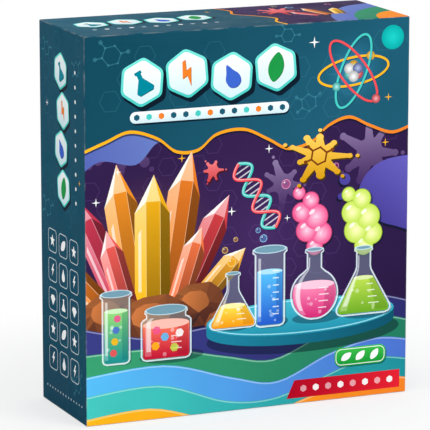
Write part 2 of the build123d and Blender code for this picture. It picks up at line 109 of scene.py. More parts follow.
# %% [markdown]
# ## Building with nodes
# Every shader and shape tree below is built with the same few helpers. One makes a node and
# feeds its inputs. The others stand for steps that come back often, and more of them follow
# where they are first needed.

# %% Node helpers


def feed(tree, node, **values):
    """Feed a node's inputs with sockets or plain values. i0 is its first input."""
    for label, value in values.items():
        socket = node.inputs[int(label[1:])] if label[1:].isdigit() else node.inputs[label.replace("_", " ")]
        if isinstance(value, bpy.types.NodeSocket):
            tree.links.new(value, socket)
        else:
            socket.default_value = value


def add(tree, kind, options=(), **values):
    """A new node with its options set and its inputs fed."""
    node = tree.nodes.new(kind)
    for option, value in dict(options).items():
        setattr(node, option, value)
    feed(tree, node, **values)
    return node


def maths(tree, operation, first, second=0.0):
    """One step of arithmetic on sockets or numbers."""
    return add(tree, "ShaderNodeMath", {"operation": operation}, i0=first, i1=second).outputs[0]


def ramp(tree, value, low, high, kind="LINEAR", **ends):
    """A value between low and high, as a share from zero to one or between other ends."""
    ends.update(Value=value, From_Min=low, From_Max=high)
    return add(tree, "ShaderNodeMapRange", {"interpolation_type": kind}, **ends).outputs["Result"]


def mix_shaders(tree, share, first, second):
    return add(tree, "ShaderNodeMixShader", i0=share, i1=first.outputs[0], i2=second.outputs[0]).outputs[0]


def object_place(tree):
    return add(tree, "ShaderNodeTexCoord").outputs["Object"]


def new_material(name):
    """A material with its node tree and its shader."""
    material = bpy.data.materials.new(name)
    material.use_nodes = True
    return material, material.node_tree, material.node_tree.nodes["Principled BSDF"]


# %% [markdown]
# ## Studio
# Large soft lamps light the case from the right, the left and above. The floor stays pale
# near the case, so that it keeps the shadow, and turns into pure white further out. Rays that
# look past the floor find a white world.

# %% Studio lamps, floor and world


def add_lamp(name, place, size, power):
    """A square soft lamp that points at the middle of the case."""
    data = bpy.data.lights.new(name, "AREA")
    data.size = size
    data.energy = power
    lamp = add_object(name, data)
    lamp.location = place
    aim = Vector(place) - Vector((0, 0, case_height * MM / 2))
    lamp.rotation_euler = aim.to_track_quat("Z", "Y").to_euler()


add_lamp("key_lamp", (1.3, -2.2, 1.5), 1.6, 45)
add_lamp("fill_lamp", (-1.9, -1.2, 1.0), 1.8, 17)
add_lamp("top_lamp", (0.1, 0.3, 2.4), 1.8, 22)


def ray_mask(tree):
    """One for rays that the eye follows: straight, mirrored or through glass."""
    rays = add(tree, "ShaderNodeLightPath").outputs
    straight_or_mirrored = maths(tree, "MAXIMUM", rays["Is Camera Ray"], rays["Is Glossy Ray"])
    return maths(tree, "MAXIMUM", straight_or_mirrored, rays["Is Transmission Ray"])


world = bpy.data.worlds.new("studio")
world.use_nodes = True
bpy.context.scene.world = world
tree = world.node_tree
tree.nodes.clear()
ambient = add(tree, "ShaderNodeBackground", Color=(0.95, 0.97, 1.0, 1), Strength=0.37)
backdrop = add(tree, "ShaderNodeBackground", Color=(1, 1, 1, 1), Strength=1.0)
add(tree, "ShaderNodeOutputWorld", i0=mix_shaders(tree, ray_mask(tree), ambient, backdrop))

floor_half = 9.0
floor_drop = 0.0004
floor_mesh = bpy.data.meshes.new("floor")
floor_corners = [(u * floor_half, v * floor_half, 0) for u, v in ((-1, -1), (1, -1), (1, 1), (-1, 1))]
floor_mesh.from_pydata(floor_corners, [], [(0, 1, 2, 3)])
floor = add_object("floor", floor_mesh)
floor.location.z = -floor_drop

shadow_reach, white_from, least_white = 0.13, 0.32, 0.66
floor_paper, tree, matt = new_material("floor_paper")
feed(tree, matt, Base_Color=(0.93, 0.93, 0.93, 1), Roughness=0.9, Specular_IOR_Level=0.1)
distance = add(tree, "ShaderNodeVectorMath", {"operation": "LENGTH"}, i0=object_place(tree)).outputs["Value"]
whiteness = ramp(tree, distance, shadow_reach, white_from, "SMOOTHSTEP", To_Min=least_white)
white_light = add(tree, "ShaderNodeEmission", Color=(1, 1, 1, 1), Strength=1.0)
share = maths(tree, "MULTIPLY", whiteness, ray_mask(tree))
feed(tree, tree.nodes["Material Output"], Surface=mix_shaders(tree, share, matt, white_light))
floor_mesh.materials.append(floor_paper)

# %% [markdown]
# ## Shader groups
# Paper, board and plastic all vary a little from place to place. One group gives the slow
# drift of colour and gloss and the fine grain that every material here uses. A second group
# finds the folds of the case, where printed paper scuffs first. Both read Object coordinates,
# so the pattern stays put on the piece.

# %% Shader group: drift of colour and gloss, and fine grain


def new_group(kind, name, sockets_in, sockets_out):
    """An empty node group. Gives it, what its inputs bring in, and its output node."""
    group = bpy.data.node_groups.new(name, kind)
    for label, (socket_kind, value) in sockets_in.items():
        socket = group.interface.new_socket(label, in_out="INPUT", socket_type="NodeSocket" + socket_kind)
        if value is not None:
            socket.default_value = value
    for label, socket_kind in sockets_out.items():
        group.interface.new_socket(label, in_out="OUTPUT", socket_type="NodeSocket" + socket_kind)
    return group, group.nodes.new("NodeGroupInput").outputs, group.nodes.new("NodeGroupOutput")


def blend(tree, share, first, second, **options):
    """A colour that lies this share of the way from the first to the second."""
    options["data_type"] = "RGBA"
    return add(tree, "ShaderNodeMix", options, Factor=share, A=first, B=second).outputs["Result"]


def noise(tree, where, scale, detail):
    return add(tree, "ShaderNodeTexNoise", Vector=where, Scale=scale, Detail=detail).outputs["Fac"]


def build_surface_group():
    group, ins, outs = new_group(
        "ShaderNodeTree", "surface_drift",
        {
            "Color": ("Color", (0.5, 0.5, 0.5, 1)), "Shade": ("Color", (0.4, 0.4, 0.4, 1)),
            "Scale": ("Float", 30.0), "Low Roughness": ("Float", 0.3), "High Roughness": ("Float", 0.5),
        },
        {"Color": "Color", "Roughness": "Float", "Height": "Float"},
    )
    where = object_place(group)

    def cloud(finer, detail):
        return noise(group, where, maths(group, "MULTIPLY", ins["Scale"], finer), detail)

    gloss_ends = {"To_Min": ins["Low Roughness"], "To_Max": ins["High Roughness"]}
    feed(
        group, outs,
        Color=blend(group, ramp(group, cloud(1.0, 3.0), 0.35, 0.68), ins["Color"], ins["Shade"]),
        Roughness=ramp(group, cloud(2.7, 4.0), 0.3, 0.7, **gloss_ends),
        Height=cloud(45.0, 2.0),
    )
    return group


surface_drift = build_surface_group()

# %% Shader group: scuffed folds of the case


def apart(tree, vector):
    """The X, Y and Z of a vector."""
    return add(tree, "ShaderNodeSeparateXYZ", i0=vector).outputs


def build_fold_group():
    """A mask that is one on the folds and corners of the case and fades over a few millimetres."""
    group, ins, outs = new_group(
        "ShaderNodeTree", "fold_wear",
        {"Reach": ("Float", 0.0016), "Amount": ("Float", 0.8)}, {"Mask": "Float"},
    )
    where = object_place(group)
    middle = (0, 0, case_height * MM / 2)
    centred = add(group, "ShaderNodeVectorMath", {"operation": "SUBTRACT"}, i0=where, i1=middle).outputs[0]
    outward = add(group, "ShaderNodeVectorMath", {"operation": "ABSOLUTE"}, i0=centred).outputs[0]
    near = []
    for distance, full in zip(apart(group, outward), (case_width, case_depth, case_height)):
        half = full * MM / 2
        near.append(ramp(group, distance, maths(group, "SUBTRACT", half, ins["Reach"]), half, "SMOOTHSTEP"))
    x, y, z = near
    first, second, third = (maths(group, "MULTIPLY", *pair) for pair in ((x, y), (y, z), (x, z)))
    on_fold = maths(group, "MAXIMUM", maths(group, "MAXIMUM", first, second), third)
    patches = ramp(group, noise(group, where, 90.0, 5.0), 0.42, 0.72)
    worn = maths(group, "MULTIPLY", on_fold, patches)
    feed(group, outs, Mask=maths(group, "MULTIPLY", worn, ins["Amount"]))
    return group


fold_wear = build_fold_group()
print("shader groups", [group.name for group in bpy.data.node_groups])

# %% [markdown]
# ## Materials
# Each finish is a Principled shader whose colour, roughness and bump come from the groups.
# Values that are the same all over, such as how clear a plastic is, sit on the shader itself.

# %% Material helpers


def to_light(inks):
    """Inks written as 0 to 255 per channel, as light."""
    share = inks / 255
    return np.where(share <= 0.04, share / 12.92, ((share + 0.055) / 1.055) ** 2.4)


def opaque(colour):
    """A colour written as 0 to 255 per channel, for a colour input."""
    return (*(float(value) for value in to_light(np.array(colour))), 1)


def lighter(ink, share):
    return tuple(c + (255 - c) * share for c in ink)


def darker(ink, share):
    return tuple(c * share for c in ink)


def bump(tree, height, strength, distance):
    return add(tree, "ShaderNodeBump", Strength=strength, Distance=distance, Height=height).outputs["Normal"]


def make_finish(name, colour, shade, scale, rough, grain, **shader_values):
    """A material with drifting colour and gloss and a fine grain."""
    material, tree, shader = new_material(name)
    drift = add(
        tree, "ShaderNodeGroup", {"node_tree": surface_drift}, Color=opaque(colour), Shade=opaque(shade),
        Scale=scale, Low_Roughness=rough[0], High_Roughness=rough[1],
    ).outputs
    normal = bump(tree, drift["Height"], grain, 0.0002)
    feed(tree, shader, Base_Color=drift["Color"], Roughness=drift["Roughness"], Normal=normal, **shader_values)
    return material


def opened(material):
    """The node tree of a finish, its shader, and the socket that its colour comes from."""
    shader = material.node_tree.nodes["Principled BSDF"]
    return material.node_tree, shader, shader.inputs["Base Color"].links[0].from_socket


def let_lamps_through(material, tint):
    """Clear plastic and glass: rays on their way to a lamp pass straight through, a little tinted."""
    tree, shader, _ = opened(material)
    to_lamp = add(tree, "ShaderNodeLightPath").outputs["Is Shadow Ray"]
    clear = add(tree, "ShaderNodeBsdfTransparent", Color=opaque(tint))
    feed(tree, tree.nodes["Material Output"], Surface=mix_shaders(tree, to_lamp, shader, clear))


def dress(name, material):
    """Give a frame piece its material."""
    materials = pieces[name].data.materials
    materials.clear()
    materials.append(material)


kit_finishes = {
    "tray_plastic": ((222, 225, 228), (216, 220, 224), 14, (0.30, 0.40), 0.02, {}, None, ["insert_tray"]),
    "rack_plastic": (
        (28, 128, 152), (20, 112, 138), 26, (0.28, 0.42), 0.10, {"Coat_Weight": 0.1}, None, ["test_tube_rack"]
    ),
    "white_plastic": (
        (240, 240, 236), (228, 228, 224), 30, (0.3, 0.45), 0.08, {}, None, [f"powder_jar_{n}" for n in four]
    ),
    "purple_plastic": (
        (112, 72, 168), (96, 58, 150), 30, (0.28, 0.42), 0.10, {}, None, [f"jar_lid_{n}" for n in four]
    ),
    "green_plastic": ((36, 158, 84), (28, 140, 72), 30, (0.28, 0.42), 0.10, {}, None, ["bottle_cap"]),
    "orange_plastic": ((244, 120, 36), (228, 102, 26), 30, (0.26, 0.40), 0.08, {}, None, ["measuring_spoon"]),
    "yellow_plastic": ((252, 190, 34), (240, 172, 24), 30, (0.26, 0.40), 0.08, {}, None, ["funnel"]),
    "red_rubber": (
        (214, 62, 66), (190, 46, 52), 40, (0.55, 0.75), 0.30, {}, None, [f"tube_stopper_{n}" for n in four]
    ),
    "blue_rubber": ((38, 108, 186), (28, 92, 166), 40, (0.5, 0.7), 0.30, {}, None, ["dropper_bulb"]),
    "clear_plastic": (
        (249, 252, 253), (244, 250, 252), 20, (0.04, 0.10), 0.02, {"Transmission_Weight": 0.96, "IOR": 1.49},
        (249, 252, 253), ["beaker", "bottle", "dropper_tube", *(f"test_tube_{n}" for n in four)],
    ),
    "clear_glass": (
        (236, 248, 246), (228, 244, 242), 20, (0.02, 0.06), 0.01, {"Transmission_Weight": 1.0, "IOR": 1.5},
        (236, 248, 246), ["stirring_rod"],
    ),
    "lens_plastic": (
        (226, 244, 248), (218, 240, 246), 16, (0.03, 0.08), 0.01, {"Transmission_Weight": 0.95, "IOR": 1.58},
        (230, 244, 248), ["goggles_lens"],
    ),
    "goggles_vinyl": (
        (88, 176, 214), (70, 158, 200), 18, (0.30, 0.45), 0.06, {"Transmission_Weight": 0.35, "IOR": 1.45},
        (150, 206, 230), ["goggles_frame"],
    ),
}
for name, (colour, shade, scale, rough, grain, values, tint, wearers) in kit_finishes.items():
    finish = make_finish(name, colour, shade, scale, rough, grain, **values)
    if tint:
        let_lamps_through(finish, tint)
    for wearer in wearers:
        dress(wearer, finish)
print("finishes of the kit", len(kit_finishes))

# %% Board of the lid and the base
board_skin = 0.9
turned_in = 18.0
turned_over = 14.0


def bare_in_lid(tree, where):
    """Inside the lid, past the paper that is turned in at its rim."""
    low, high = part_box("lid")
    depth = None
    for axis, start, end in zip("XYZ", low, high):
        walls = [maths(tree, "SUBTRACT", where[axis], start)]
        if axis != "Y":
            walls.append(maths(tree, "SUBTRACT", end, where[axis]))
        for wall in walls:
            depth = maths(tree, "MINIMUM", depth, wall) if depth else wall
    from_rim = maths(tree, "ABSOLUTE", maths(tree, "SUBTRACT", where["Y"], high[1]))
    inside = maths(tree, "GREATER_THAN", depth, board_skin * MM)
    return maths(tree, "MULTIPLY", inside, maths(tree, "GREATER_THAN", from_rim, turned_in * MM))


def bare_on_base(tree, where):
    """The walls of the base, up to the paper that is turned over from its back."""
    low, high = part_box("base")
    from_rim = maths(tree, "ABSOLUTE", maths(tree, "SUBTRACT", where["Y"], low[1]))
    return maths(tree, "LESS_THAN", from_rim, high[1] - low[1] - turned_over * MM)


def make_board(name, paper, find_bare):
    """Printed paper, and a pale grey liner where the paper leaves the board bare."""
    material = make_finish(name, paper, darker(paper, 0.95), 12, (0.45, 0.6), 0.05, Specular_IOR_Level=0.04)
    tree, shader, printed = opened(material)
    liner = add(
        tree, "ShaderNodeGroup", {"node_tree": surface_drift},
        Color=opaque((228, 225, 216)), Shade=opaque((219, 216, 206)), Scale=70.0,
    ).outputs["Color"]
    bare = find_bare(tree, apart(tree, object_place(tree)))
    feed(tree, shader, Base_Color=blend(tree, bare, printed, liner))
    return material


dress("lid", make_board("lid_board", (24, 78, 98), bare_in_lid))
dress("base", make_board("base_board", (22, 72, 92), bare_on_base))
print("boards of the lid and the base")

# %% Elastic strap and paper of the booklet


def stripes(tree, along, scale, wobble):
    """Soft stripes on a piece, one after the other along an axis."""
    values = {"Vector": object_place(tree), "Scale": scale, "Distortion": wobble}
    return add(tree, "ShaderNodeTexWave", {"bands_direction": along}, **values).outputs["Fac"]


def make_strap_weave():
    """Black elastic: fine ribs along the strap with a drift of grey."""
    material = make_finish("strap_elastic", (34, 34, 38), (22, 22, 25), 60, (0.7, 0.9), 0.2)
    tree, shader, _ = opened(material)
    feed(tree, shader, Normal=bump(tree, stripes(tree, "Z", 160.0, 0.6), 0.6, 0.0004))
    return material


def make_booklet_paper():
    """White paper whose cut edges show grey lines of painted shade in the gaps between the sheets."""
    material = make_finish("booklet_paper", (244, 244, 240), (234, 234, 230), 60, (0.5, 0.65), 0.10)
    tree, shader, paper = opened(material)
    facing = apart(tree, add(tree, "ShaderNodeNewGeometry").outputs["Normal"])["Y"]
    cut_edge = maths(tree, "LESS_THAN", maths(tree, "ABSOLUTE", facing), 0.5)
    # Grey lines on the cut edges: painted shade in the gaps between the sheets
    sheet_gap_shade = maths(tree, "MULTIPLY", stripes(tree, "Y", 1900.0, 0.8), 0.6)
    line = maths(tree, "MULTIPLY", cut_edge, sheet_gap_shade)
    feed(tree, shader, Base_Color=blend(tree, line, paper, opaque((150, 148, 142))))
    return material


dress("goggles_strap", make_strap_weave())
dress("instruction_booklet", make_booklet_paper())
print("dressed", sum(1 for item in pieces.values() if item.data.materials), "frame pieces")

# %% [markdown]
# ## The printed wrap of the lid
# On the real case a printed and laminated sheet of paper is glued round the board and over
# every fold. A picture file would do the same job, but here the artwork is drawn in the
# script: each motif is an outline with a paint, and all outlines of one face are cut into one
# flat layer of triangles. Each corner of a triangle then keeps the ink that lies on top.
# Nothing overlaps, so the print stays one thin sheet, and it bends over the rounded folds.

# %% Outlines


def oval(middle, wide, high=None, turn=0.0, steps=32, start=0.0, end=360.0):
    """Points round a circle or an ellipse, or along a part of it."""
    high = wide if high is None else high
    cosine, sine = math.cos(math.radians(turn)), math.sin(math.radians(turn))
    whole = abs(end - start) >= 360
    points = []
    for step in range(steps if whole else steps + 1):
        angle = math.radians(start + (end - start) * step / steps)
        u, v = wide * math.cos(angle), high * math.sin(angle)
        points.append((middle[0] + u * cosine - v * sine, middle[1] + u * sine + v * cosine))
    return points


def smooth(points, closed=True, steps=5):
    """A curve that passes through every given point."""
    count = len(points)
    curve = []
    for span in range(count if closed else count - 1):
        places = [span - 1, span, span + 1, span + 2]
        places = [p % count if closed else min(max(p, 0), count - 1) for p in places]
        a, b, c, d = (points[p] for p in places)
        for step in range(steps):
            t = step / steps
            curve.append(tuple(
                0.5 * (
                    2 * q + (r - p) * t + (2 * p - 5 * q + 4 * r - s) * t**2 + (3 * q - p - 3 * r + s) * t**3
                )
                for p, q, r, s in zip(a, b, c, d)
            ))
    if not closed:
        curve.append(points[-1])
    return curve


def moved(points, by, scale=1.0, turn=0.0):
    """The outline scaled, turned and then shifted."""
    cosine, sine = math.cos(math.radians(turn)) * scale, math.sin(math.radians(turn)) * scale
    return [(by[0] + u * cosine - v * sine, by[1] + u * sine + v * cosine) for u, v in points]


def box(u0, v0, u1, v1):
    return [(u0, v0), (u1, v0), (u1, v1), (u0, v1)]


def rounded_box(middle, wide, high, corner):
    """A rectangle with round corners."""
    points = []
    for quarter, (side_u, side_v) in enumerate(((1, 1), (-1, 1), (-1, -1), (1, -1))):
        centre = (side_u * (wide / 2 - corner), side_v * (high / 2 - corner))
        points += oval(centre, corner, steps=6, start=90 * quarter, end=90 * quarter + 90)
    return moved(points, middle)


def hexagon(middle, radius, turn=0.0):
    """A hexagon with softened corners."""
    softness = 0.18
    tips = oval((0, 0), radius, steps=6)
    points = []
    for index, tip in enumerate(tips):
        beside = (tips[index - 1], tips[(index + 1) % 6])
        first, last = (tuple(t + (o - t) * softness for t, o in zip(tip, other)) for other in beside)
        for t in (0.0, 0.25, 0.5, 0.75, 1.0):
            points.append(tuple(
                (1 - t) ** 2 * f + 2 * t * (1 - t) * m + t * t * s for f, m, s in zip(first, tip, last)
            ))
    return moved(points, middle, turn=turn)


def spikes(count, inner, start):
    """A star of this many tips."""
    points = []
    for tip in range(count):
        turn = start + 360 / count * tip
        points += oval((0, 0), 1, turn=turn, steps=1) + oval((0, 0), inner, turn=turn + 180 / count, steps=1)
    return points


# %% Paints
# A paint gives the colour and the cover of the ink at places on the sheet.


def flat(colour, cover=1.0):
    return lambda places: np.broadcast_to((*colour, cover), (*places.shape[:-1], 4))


def between(first, last, share):
    """Ink that lies this share of the way from the first to the last."""
    first, last = np.array(first), np.array(last)
    return first + (last - first) * np.clip(share, 0, 1)[..., None]


def fade(start, end, first, last):
    """Ink that changes evenly from one point to another."""
    run = np.array(end) - np.array(start)
    return lambda places: between((*first, 1.0), (*last, 1.0), (places - np.array(start)) @ run / (run @ run))


def glow(middle, radius, inner, outer, inner_cover, outer_cover):
    """Ink that changes evenly outward from a point."""
    ends = ((*inner, inner_cover), (*outer, outer_cover))
    return lambda places: between(*ends, np.linalg.norm(places - np.array(middle), axis=-1) / radius)


# %% One printed face


class Drawing:
    """The outlines of one face in the order in which they are painted, in millimetres.

    With an edge, the sheet is cut to that outline.
    """

    def __init__(self, wide, high):
        self.wide = wide
        self.high = high
        self.shapes = []
        self.extra = []
        self.edge = None

    def fill(self, outline, paint):
        self.shapes.append((outline, paint))

    def ball(self, middle, radius, inner, outer, inner_cover=1.0, outer_cover=1.0, rings=5, steps=28):
        """A round spot that shades outward."""
        paint = glow(middle, radius, inner, outer, inner_cover, outer_cover)
        self.fill(oval(middle, radius, steps=steps), paint)
        for ring in range(rings):
            self.extra += oval(middle, radius * ring / rings + 0.02, steps=max(6, steps * ring // rings))

    def line(self, path, wide, paint, closed=False, piece=8):
        """A line of a width, cut into short pieces so that it may cross itself."""
        count = len(path)
        sides = []
        for index, (u, v) in enumerate(path):
            before = path[index - 1] if closed or index else path[index]
            after = path[(index + 1) % count] if closed or index < count - 1 else path[index]
            du, dv = after[0] - before[0], after[1] - before[1]
            half = wide / 2 / (math.hypot(du, dv) or 1.0)
            sides.append(((u - dv * half, v + du * half), (u + dv * half, v - du * half)))
        if closed:
            sides.append(sides[0])
        for start in range(0, len(sides) - 1, piece):
            part = sides[start : start + piece + 1]
            self.fill([right for left, right in part] + [left for left, right in reversed(part)], paint)


def within(outline, places):
    """Which places lie inside an outline, counted by how often it winds round them."""
    start = np.array(outline)
    end = np.roll(start, -1, axis=0)
    u, v = places[:, :1], places[:, 1:]
    side = (end[:, 0] - start[:, 0]) * (v - start[:, 1]) - (u - start[:, 0]) * (end[:, 1] - start[:, 1])
    rising = (start[:, 1] <= v) & (end[:, 1] > v) & (side > 0)
    falling = (start[:, 1] > v) & (end[:, 1] <= v) & (side < 0)
    return rising.sum(axis=1) != falling.sum(axis=1)


def cut_layer(drawing, low, high, grid_u, grid_v):
    """Cuts all outlines into one layer. Gives points, triangles and the ink of each corner."""
    loops = [box(*low, *high)] + [outline for outline, _ in drawing.shapes]
    loops += [drawing.edge] if drawing.edge else []
    loops += [[(u, low[1]), (u, high[1])] for u in grid_u] + [[(low[0], v), (high[0], v)] for v in grid_v]
    corners, edges = [], []
    for loop in loops:
        first, count = len(corners), len(loop)
        corners += [Vector(point) for point in loop]
        edges += [(first + k, first + (k + 1) % count) for k in range(count)]
    corners += [Vector(point) for point in drawing.extra]
    points, _, triangles, _, _, _ = delaunay_2d_cdt(corners, edges, [], 0, 1e-4, False)
    points, triangles = np.array(points), np.array(triangles)
    tips = points[triangles]
    centres = tips.mean(axis=1)
    one, two = tips[:, 1] - tips[:, 0], tips[:, 2] - tips[:, 0]
    area = abs(one[:, 0] * two[:, 1] - one[:, 1] * two[:, 0]) / 2
    kept = (centres > low).all(axis=1) & (centres < high).all(axis=1) & (area > 1e-6)
    if drawing.edge:
        kept &= within(drawing.edge, centres)
    triangles, tips, centres = triangles[kept], tips[kept], centres[kept]
    inks = np.zeros((len(triangles), 3, 3))
    for outline, paint in drawing.shapes:
        lowest, highest = np.min(outline, axis=0), np.max(outline, axis=0)
        near = np.flatnonzero((centres >= lowest).all(axis=1) & (centres <= highest).all(axis=1))
        under = near[within(outline, centres[near])]
        ink = paint(tips[under])
        cover = ink[..., 3:]
        inks[under] = inks[under] * (1 - cover) + ink[..., :3] * cover
    used, triangles = np.unique(triangles, return_inverse=True)
    return points[used], triangles.reshape(-1, 3), inks


# %% [markdown]
# The sheet has to bend over the rounded folds of the board. Beyond the start of a fold, each
# point leans over by its distance from there, up to half of the quarter turn, where the
# sheet of the next face takes over at the same edge.

# %% Lay a drawing on a face of the lid
fold_radius = 0.8
paper_lift = 0.05
rim_gap = 0.5
bow_step = 1.5
half_turn = math.pi / 4 * fold_radius
both = ("low", "high")


def lay_print(name, drawing, corner, right, up, rim_u=(), rim_v=(), bow=None):
    """A sheet on a flat wall, or on a round one whose radius is the bow.

    A side in rim_u or rim_v is a raw rim, with no fold.
    """
    corner, right, up = Vector(corner), Vector(right), Vector(up)
    out = right.cross(up)
    limits = []
    for size, rims in ((drawing.wide, rim_u), (drawing.high, rim_v)):
        low = rim_gap if "low" in rims else fold_radius - half_turn
        high = size - (rim_gap if "high" in rims else fold_radius - half_turn)
        bends = []
        for rim, start, way in (("low", fold_radius, -1), ("high", size - fold_radius, 1)):
            if rim not in rims:
                bends += [start, start + way * half_turn / 2]
        inner = (0.0 if "low" in rims else fold_radius, size if "high" in rims else size - fold_radius)
        limits.append((low, high, bends, inner))
    (u0, u1, bend_u, flat_u), (v0, v1, bend_v, flat_v) = limits
    if bow:
        bend_u = [bow_step * step for step in range(1, int(drawing.wide / bow_step))]
    points, triangles, inks = cut_layer(drawing, (u0, v0), (u1, v1), bend_u, bend_v)
    places = []
    for u, v in points:
        if bow:
            turn = (u - drawing.wide / 2) / bow
            from_axis = (right * math.sin(turn) + out * math.cos(turn)) * (bow + paper_lift)
            places.append((corner + right * drawing.wide / 2 + up * v - out * bow + from_axis) * MM)
            continue
        near_u = min(max(u, flat_u[0]), flat_u[1])
        near_v = min(max(v, flat_v[0]), flat_v[1])
        lean = out + right * math.tan((u - near_u) / fold_radius) + up * math.tan((v - near_v) / fold_radius)
        core = corner + right * near_u + up * near_v - out * fold_radius
        places.append((core + lean.normalized() * (fold_radius + paper_lift)) * MM)
    mesh = bpy.data.meshes.new(name)
    mesh.from_pydata(places, [], triangles.tolist())
    ink = mesh.color_attributes.new("ink", "FLOAT_COLOR", "CORNER")
    ink.data.foreach_set("color", np.dstack((to_light(inks), np.ones(inks.shape[:2]))).ravel())
    print(name, len(drawing.shapes), "outlines,", len(triangles), "triangles")
    return add_object(name, mesh)

# %% [markdown]
# ## Motifs
# The artwork tells of chemistry in general: tiles with small signs, an atom, crystals, flasks
# and bubbles. Every motif is a function, so that the faces of the lid and the booklet can
# share it at other sizes.

# %% Inks and small signs
white = (250, 252, 250)
mint, deep_mint = (70, 200, 190), (30, 140, 150)
teal, deep_teal, pale_teal = (28, 88, 110), (18, 72, 90), (64, 132, 150)
purple, deep_purple, lilac, plum = (54, 33, 78), (38, 23, 62), (112, 82, 146), (92, 58, 124)
amber, orange = (253, 185, 27), (240, 128, 40)
coral, pink, lime = (240, 78, 84), (236, 84, 140), (190, 222, 80)
sky, blue, periwinkle, dusk = (86, 190, 243), (74, 110, 200), (112, 134, 200), (84, 100, 176)
green, deep_green = (58, 160, 112), (34, 120, 92)
brown, dark_brown = (158, 92, 50), (84, 44, 34)
shadow = (10, 22, 36)

# A light and a deep ink for liquids and foam
lime_liquid = lime, (110, 170, 40)
rose_liquid = (250, 140, 180), (206, 40, 112)
blue_liquid = sky, (36, 90, 200)
mint_liquid = mint, deep_mint
lime_foam = (250, 250, 190), lime

signs = {
    "drop": smooth([
        (0, 1), (0.34, 0.38), (0.62, -0.12), (0.52, -0.7), (0, -0.95), (-0.52, -0.7), (-0.62, -0.12), (-0.34, 0.38),
    ]),
    "flask": [
        (-0.3, 0.95), (0.3, 0.95), (0.3, 0.78), (0.19, 0.74), (0.19, 0.3), (0.78, -0.66), (0.6, -0.92),
        (-0.6, -0.92), (-0.78, -0.66), (-0.19, 0.3), (-0.19, 0.74), (-0.3, 0.78),
    ],
    "star": spikes(5, 0.44, 90),
    "bolt": [(0.2, 1), (-0.55, -0.12), (-0.08, -0.12), (-0.3, -1), (0.56, 0.24), (0.08, 0.24), (0.5, 1)],
    "leaf": smooth([(-0.85, -0.75), (-0.75, 0.1), (-0.1, 0.7), (0.9, 0.85), (0.75, -0.1), (0.05, -0.7)]),
    "gem": [(-0.5, 0.7), (0.5, 0.7), (0.95, 0.2), (0, -0.9), (-0.95, 0.2)],
}
tile_kinds = (("flask", (0, 132, 150)), ("bolt", orange), ("drop", (60, 100, 200)), ("leaf", (30, 150, 70)))
print("signs", len(signs), "and tiles", len(tile_kinds))


def scatter(motif, art, *places, **same):
    """One motif at several places, each with its own values and the same other ones."""
    for place in places:
        motif(art, *place, **same)


def sign(art, kind, middle, size, ink, turn=0.0):
    art.fill(moved(signs[kind], middle, size, turn), flat(ink))


def tile(art, middle, radius, kind, ink, turn=0.0):
    """A white hexagon with a mint rim, a dark shadow and a small sign."""
    u, v = middle
    rim = radius * 0.13
    up, down = (u, v + radius), (u, v - radius)
    art.fill(hexagon((u + rim * 0.9, v - rim * 1.1), radius + 1.5 * rim, turn=turn), flat(shadow, 0.9))
    art.fill(hexagon(middle, radius + rim, turn=turn), fade(up, down, (120, 232, 220), mint))
    art.fill(hexagon(middle, radius, turn=turn), fade(up, down, white, (206, 232, 238)))
    sign(art, kind, (u + 0.4, v - 0.5), radius * 0.56, darker(ink, 0.72), turn)
    sign(art, kind, middle, radius * 0.56, ink, turn)


def tile_row(art, start, run, radius, shifts=((0, 0), (0, 0)), tilts=(-4, 5)):
    """Four tiles in a row, where every second one has another shift and tilt."""
    for step, (kind, ink) in enumerate(tile_kinds):
        place = [a + b * step + c for a, b, c in zip(start, run, shifts[step % 2])]
        tile(art, place, radius, kind, ink, 30 + tilts[step % 2])


def dot_row(art, start, run, count, radius, *paints):
    """Small hexagons in a row that take turns with the paints."""
    for step in range(count):
        place = [a + b * step for a, b in zip(start, run)]
        art.fill(hexagon(place, radius, turn=30), paints[step % len(paints)])


def sparkle(art, middle, size, ink=white):
    """A four-pointed twinkle."""
    art.fill(moved(spikes(4, 0.2, 0), middle, size), flat(ink))


def bubble(art, middle, radius, ink):
    """A thin round skin with a bright spot."""
    u, v = middle
    art.ball(middle, radius, ink, ink, 0.12, 0.5, rings=2, steps=20)
    art.line(oval(middle, radius, steps=20), radius * 0.13, flat(lighter(ink, 0.45), 0.9), closed=True)
    shine = oval((u - radius * 0.38, v + radius * 0.4), radius * 0.24, radius * 0.14, 40, steps=10)
    art.fill(shine, flat(white, 0.9))


def splash(art, middle, radius, ink, fingers, seed, shaded=True, stretch=1.0):
    """A spot of spilt colour with round-ended fingers and a few drops."""
    draw = random.Random(seed)
    blob, arms = [], []
    for k in range(fingers):
        angle = math.tau * (k + draw.uniform(-0.2, 0.2)) / fingers
        far = draw.uniform(0.74, 1.2)
        arms.append((angle, far, draw.uniform(0.1, 0.17)))
        blob += [(0.66 * math.cos(angle), 0.66 * math.sin(angle)),
                 (0.5 * math.cos(angle + math.pi / fingers), 0.5 * math.sin(angle + math.pi / fingers))]
    drops = [((far + 0.3) * math.cos(angle), (far + 0.3) * math.sin(angle)) for angle, far, _ in arms[::2]]

    def lay(shift, paint):
        at = (middle[0] + shift[0], middle[1] + shift[1])

        def put(points):
            art.fill(moved([(u * stretch, v) for u, v in points], at, radius), paint)

        put(smooth(blob, steps=4))
        for angle, far, thick in arms:
            tip = (far * math.cos(angle), far * math.sin(angle))
            across = (-math.sin(angle) * thick * 0.75, math.cos(angle) * thick * 0.75)
            root = (0.4 * math.cos(angle), 0.4 * math.sin(angle))
            put([
                (root[0] - 2 * across[0], root[1] - 2 * across[1]), (tip[0] - across[0], tip[1] - across[1]),
                (tip[0] + across[0], tip[1] + across[1]), (root[0] + 2 * across[0], root[1] + 2 * across[1]),
            ])
            put(oval(tip, thick, steps=14))
        for drop in drops:
            put(oval(drop, 0.08, steps=10))

    u, v = middle
    if shaded:
        lay((0.9, -1.1), flat(darker(ink, 0.3)))
    lay((0, 0), fade((u, v + radius), (u, v - radius), lighter(ink, 0.3), darker(ink, 0.84)))


# %% Atom, molecule and helix


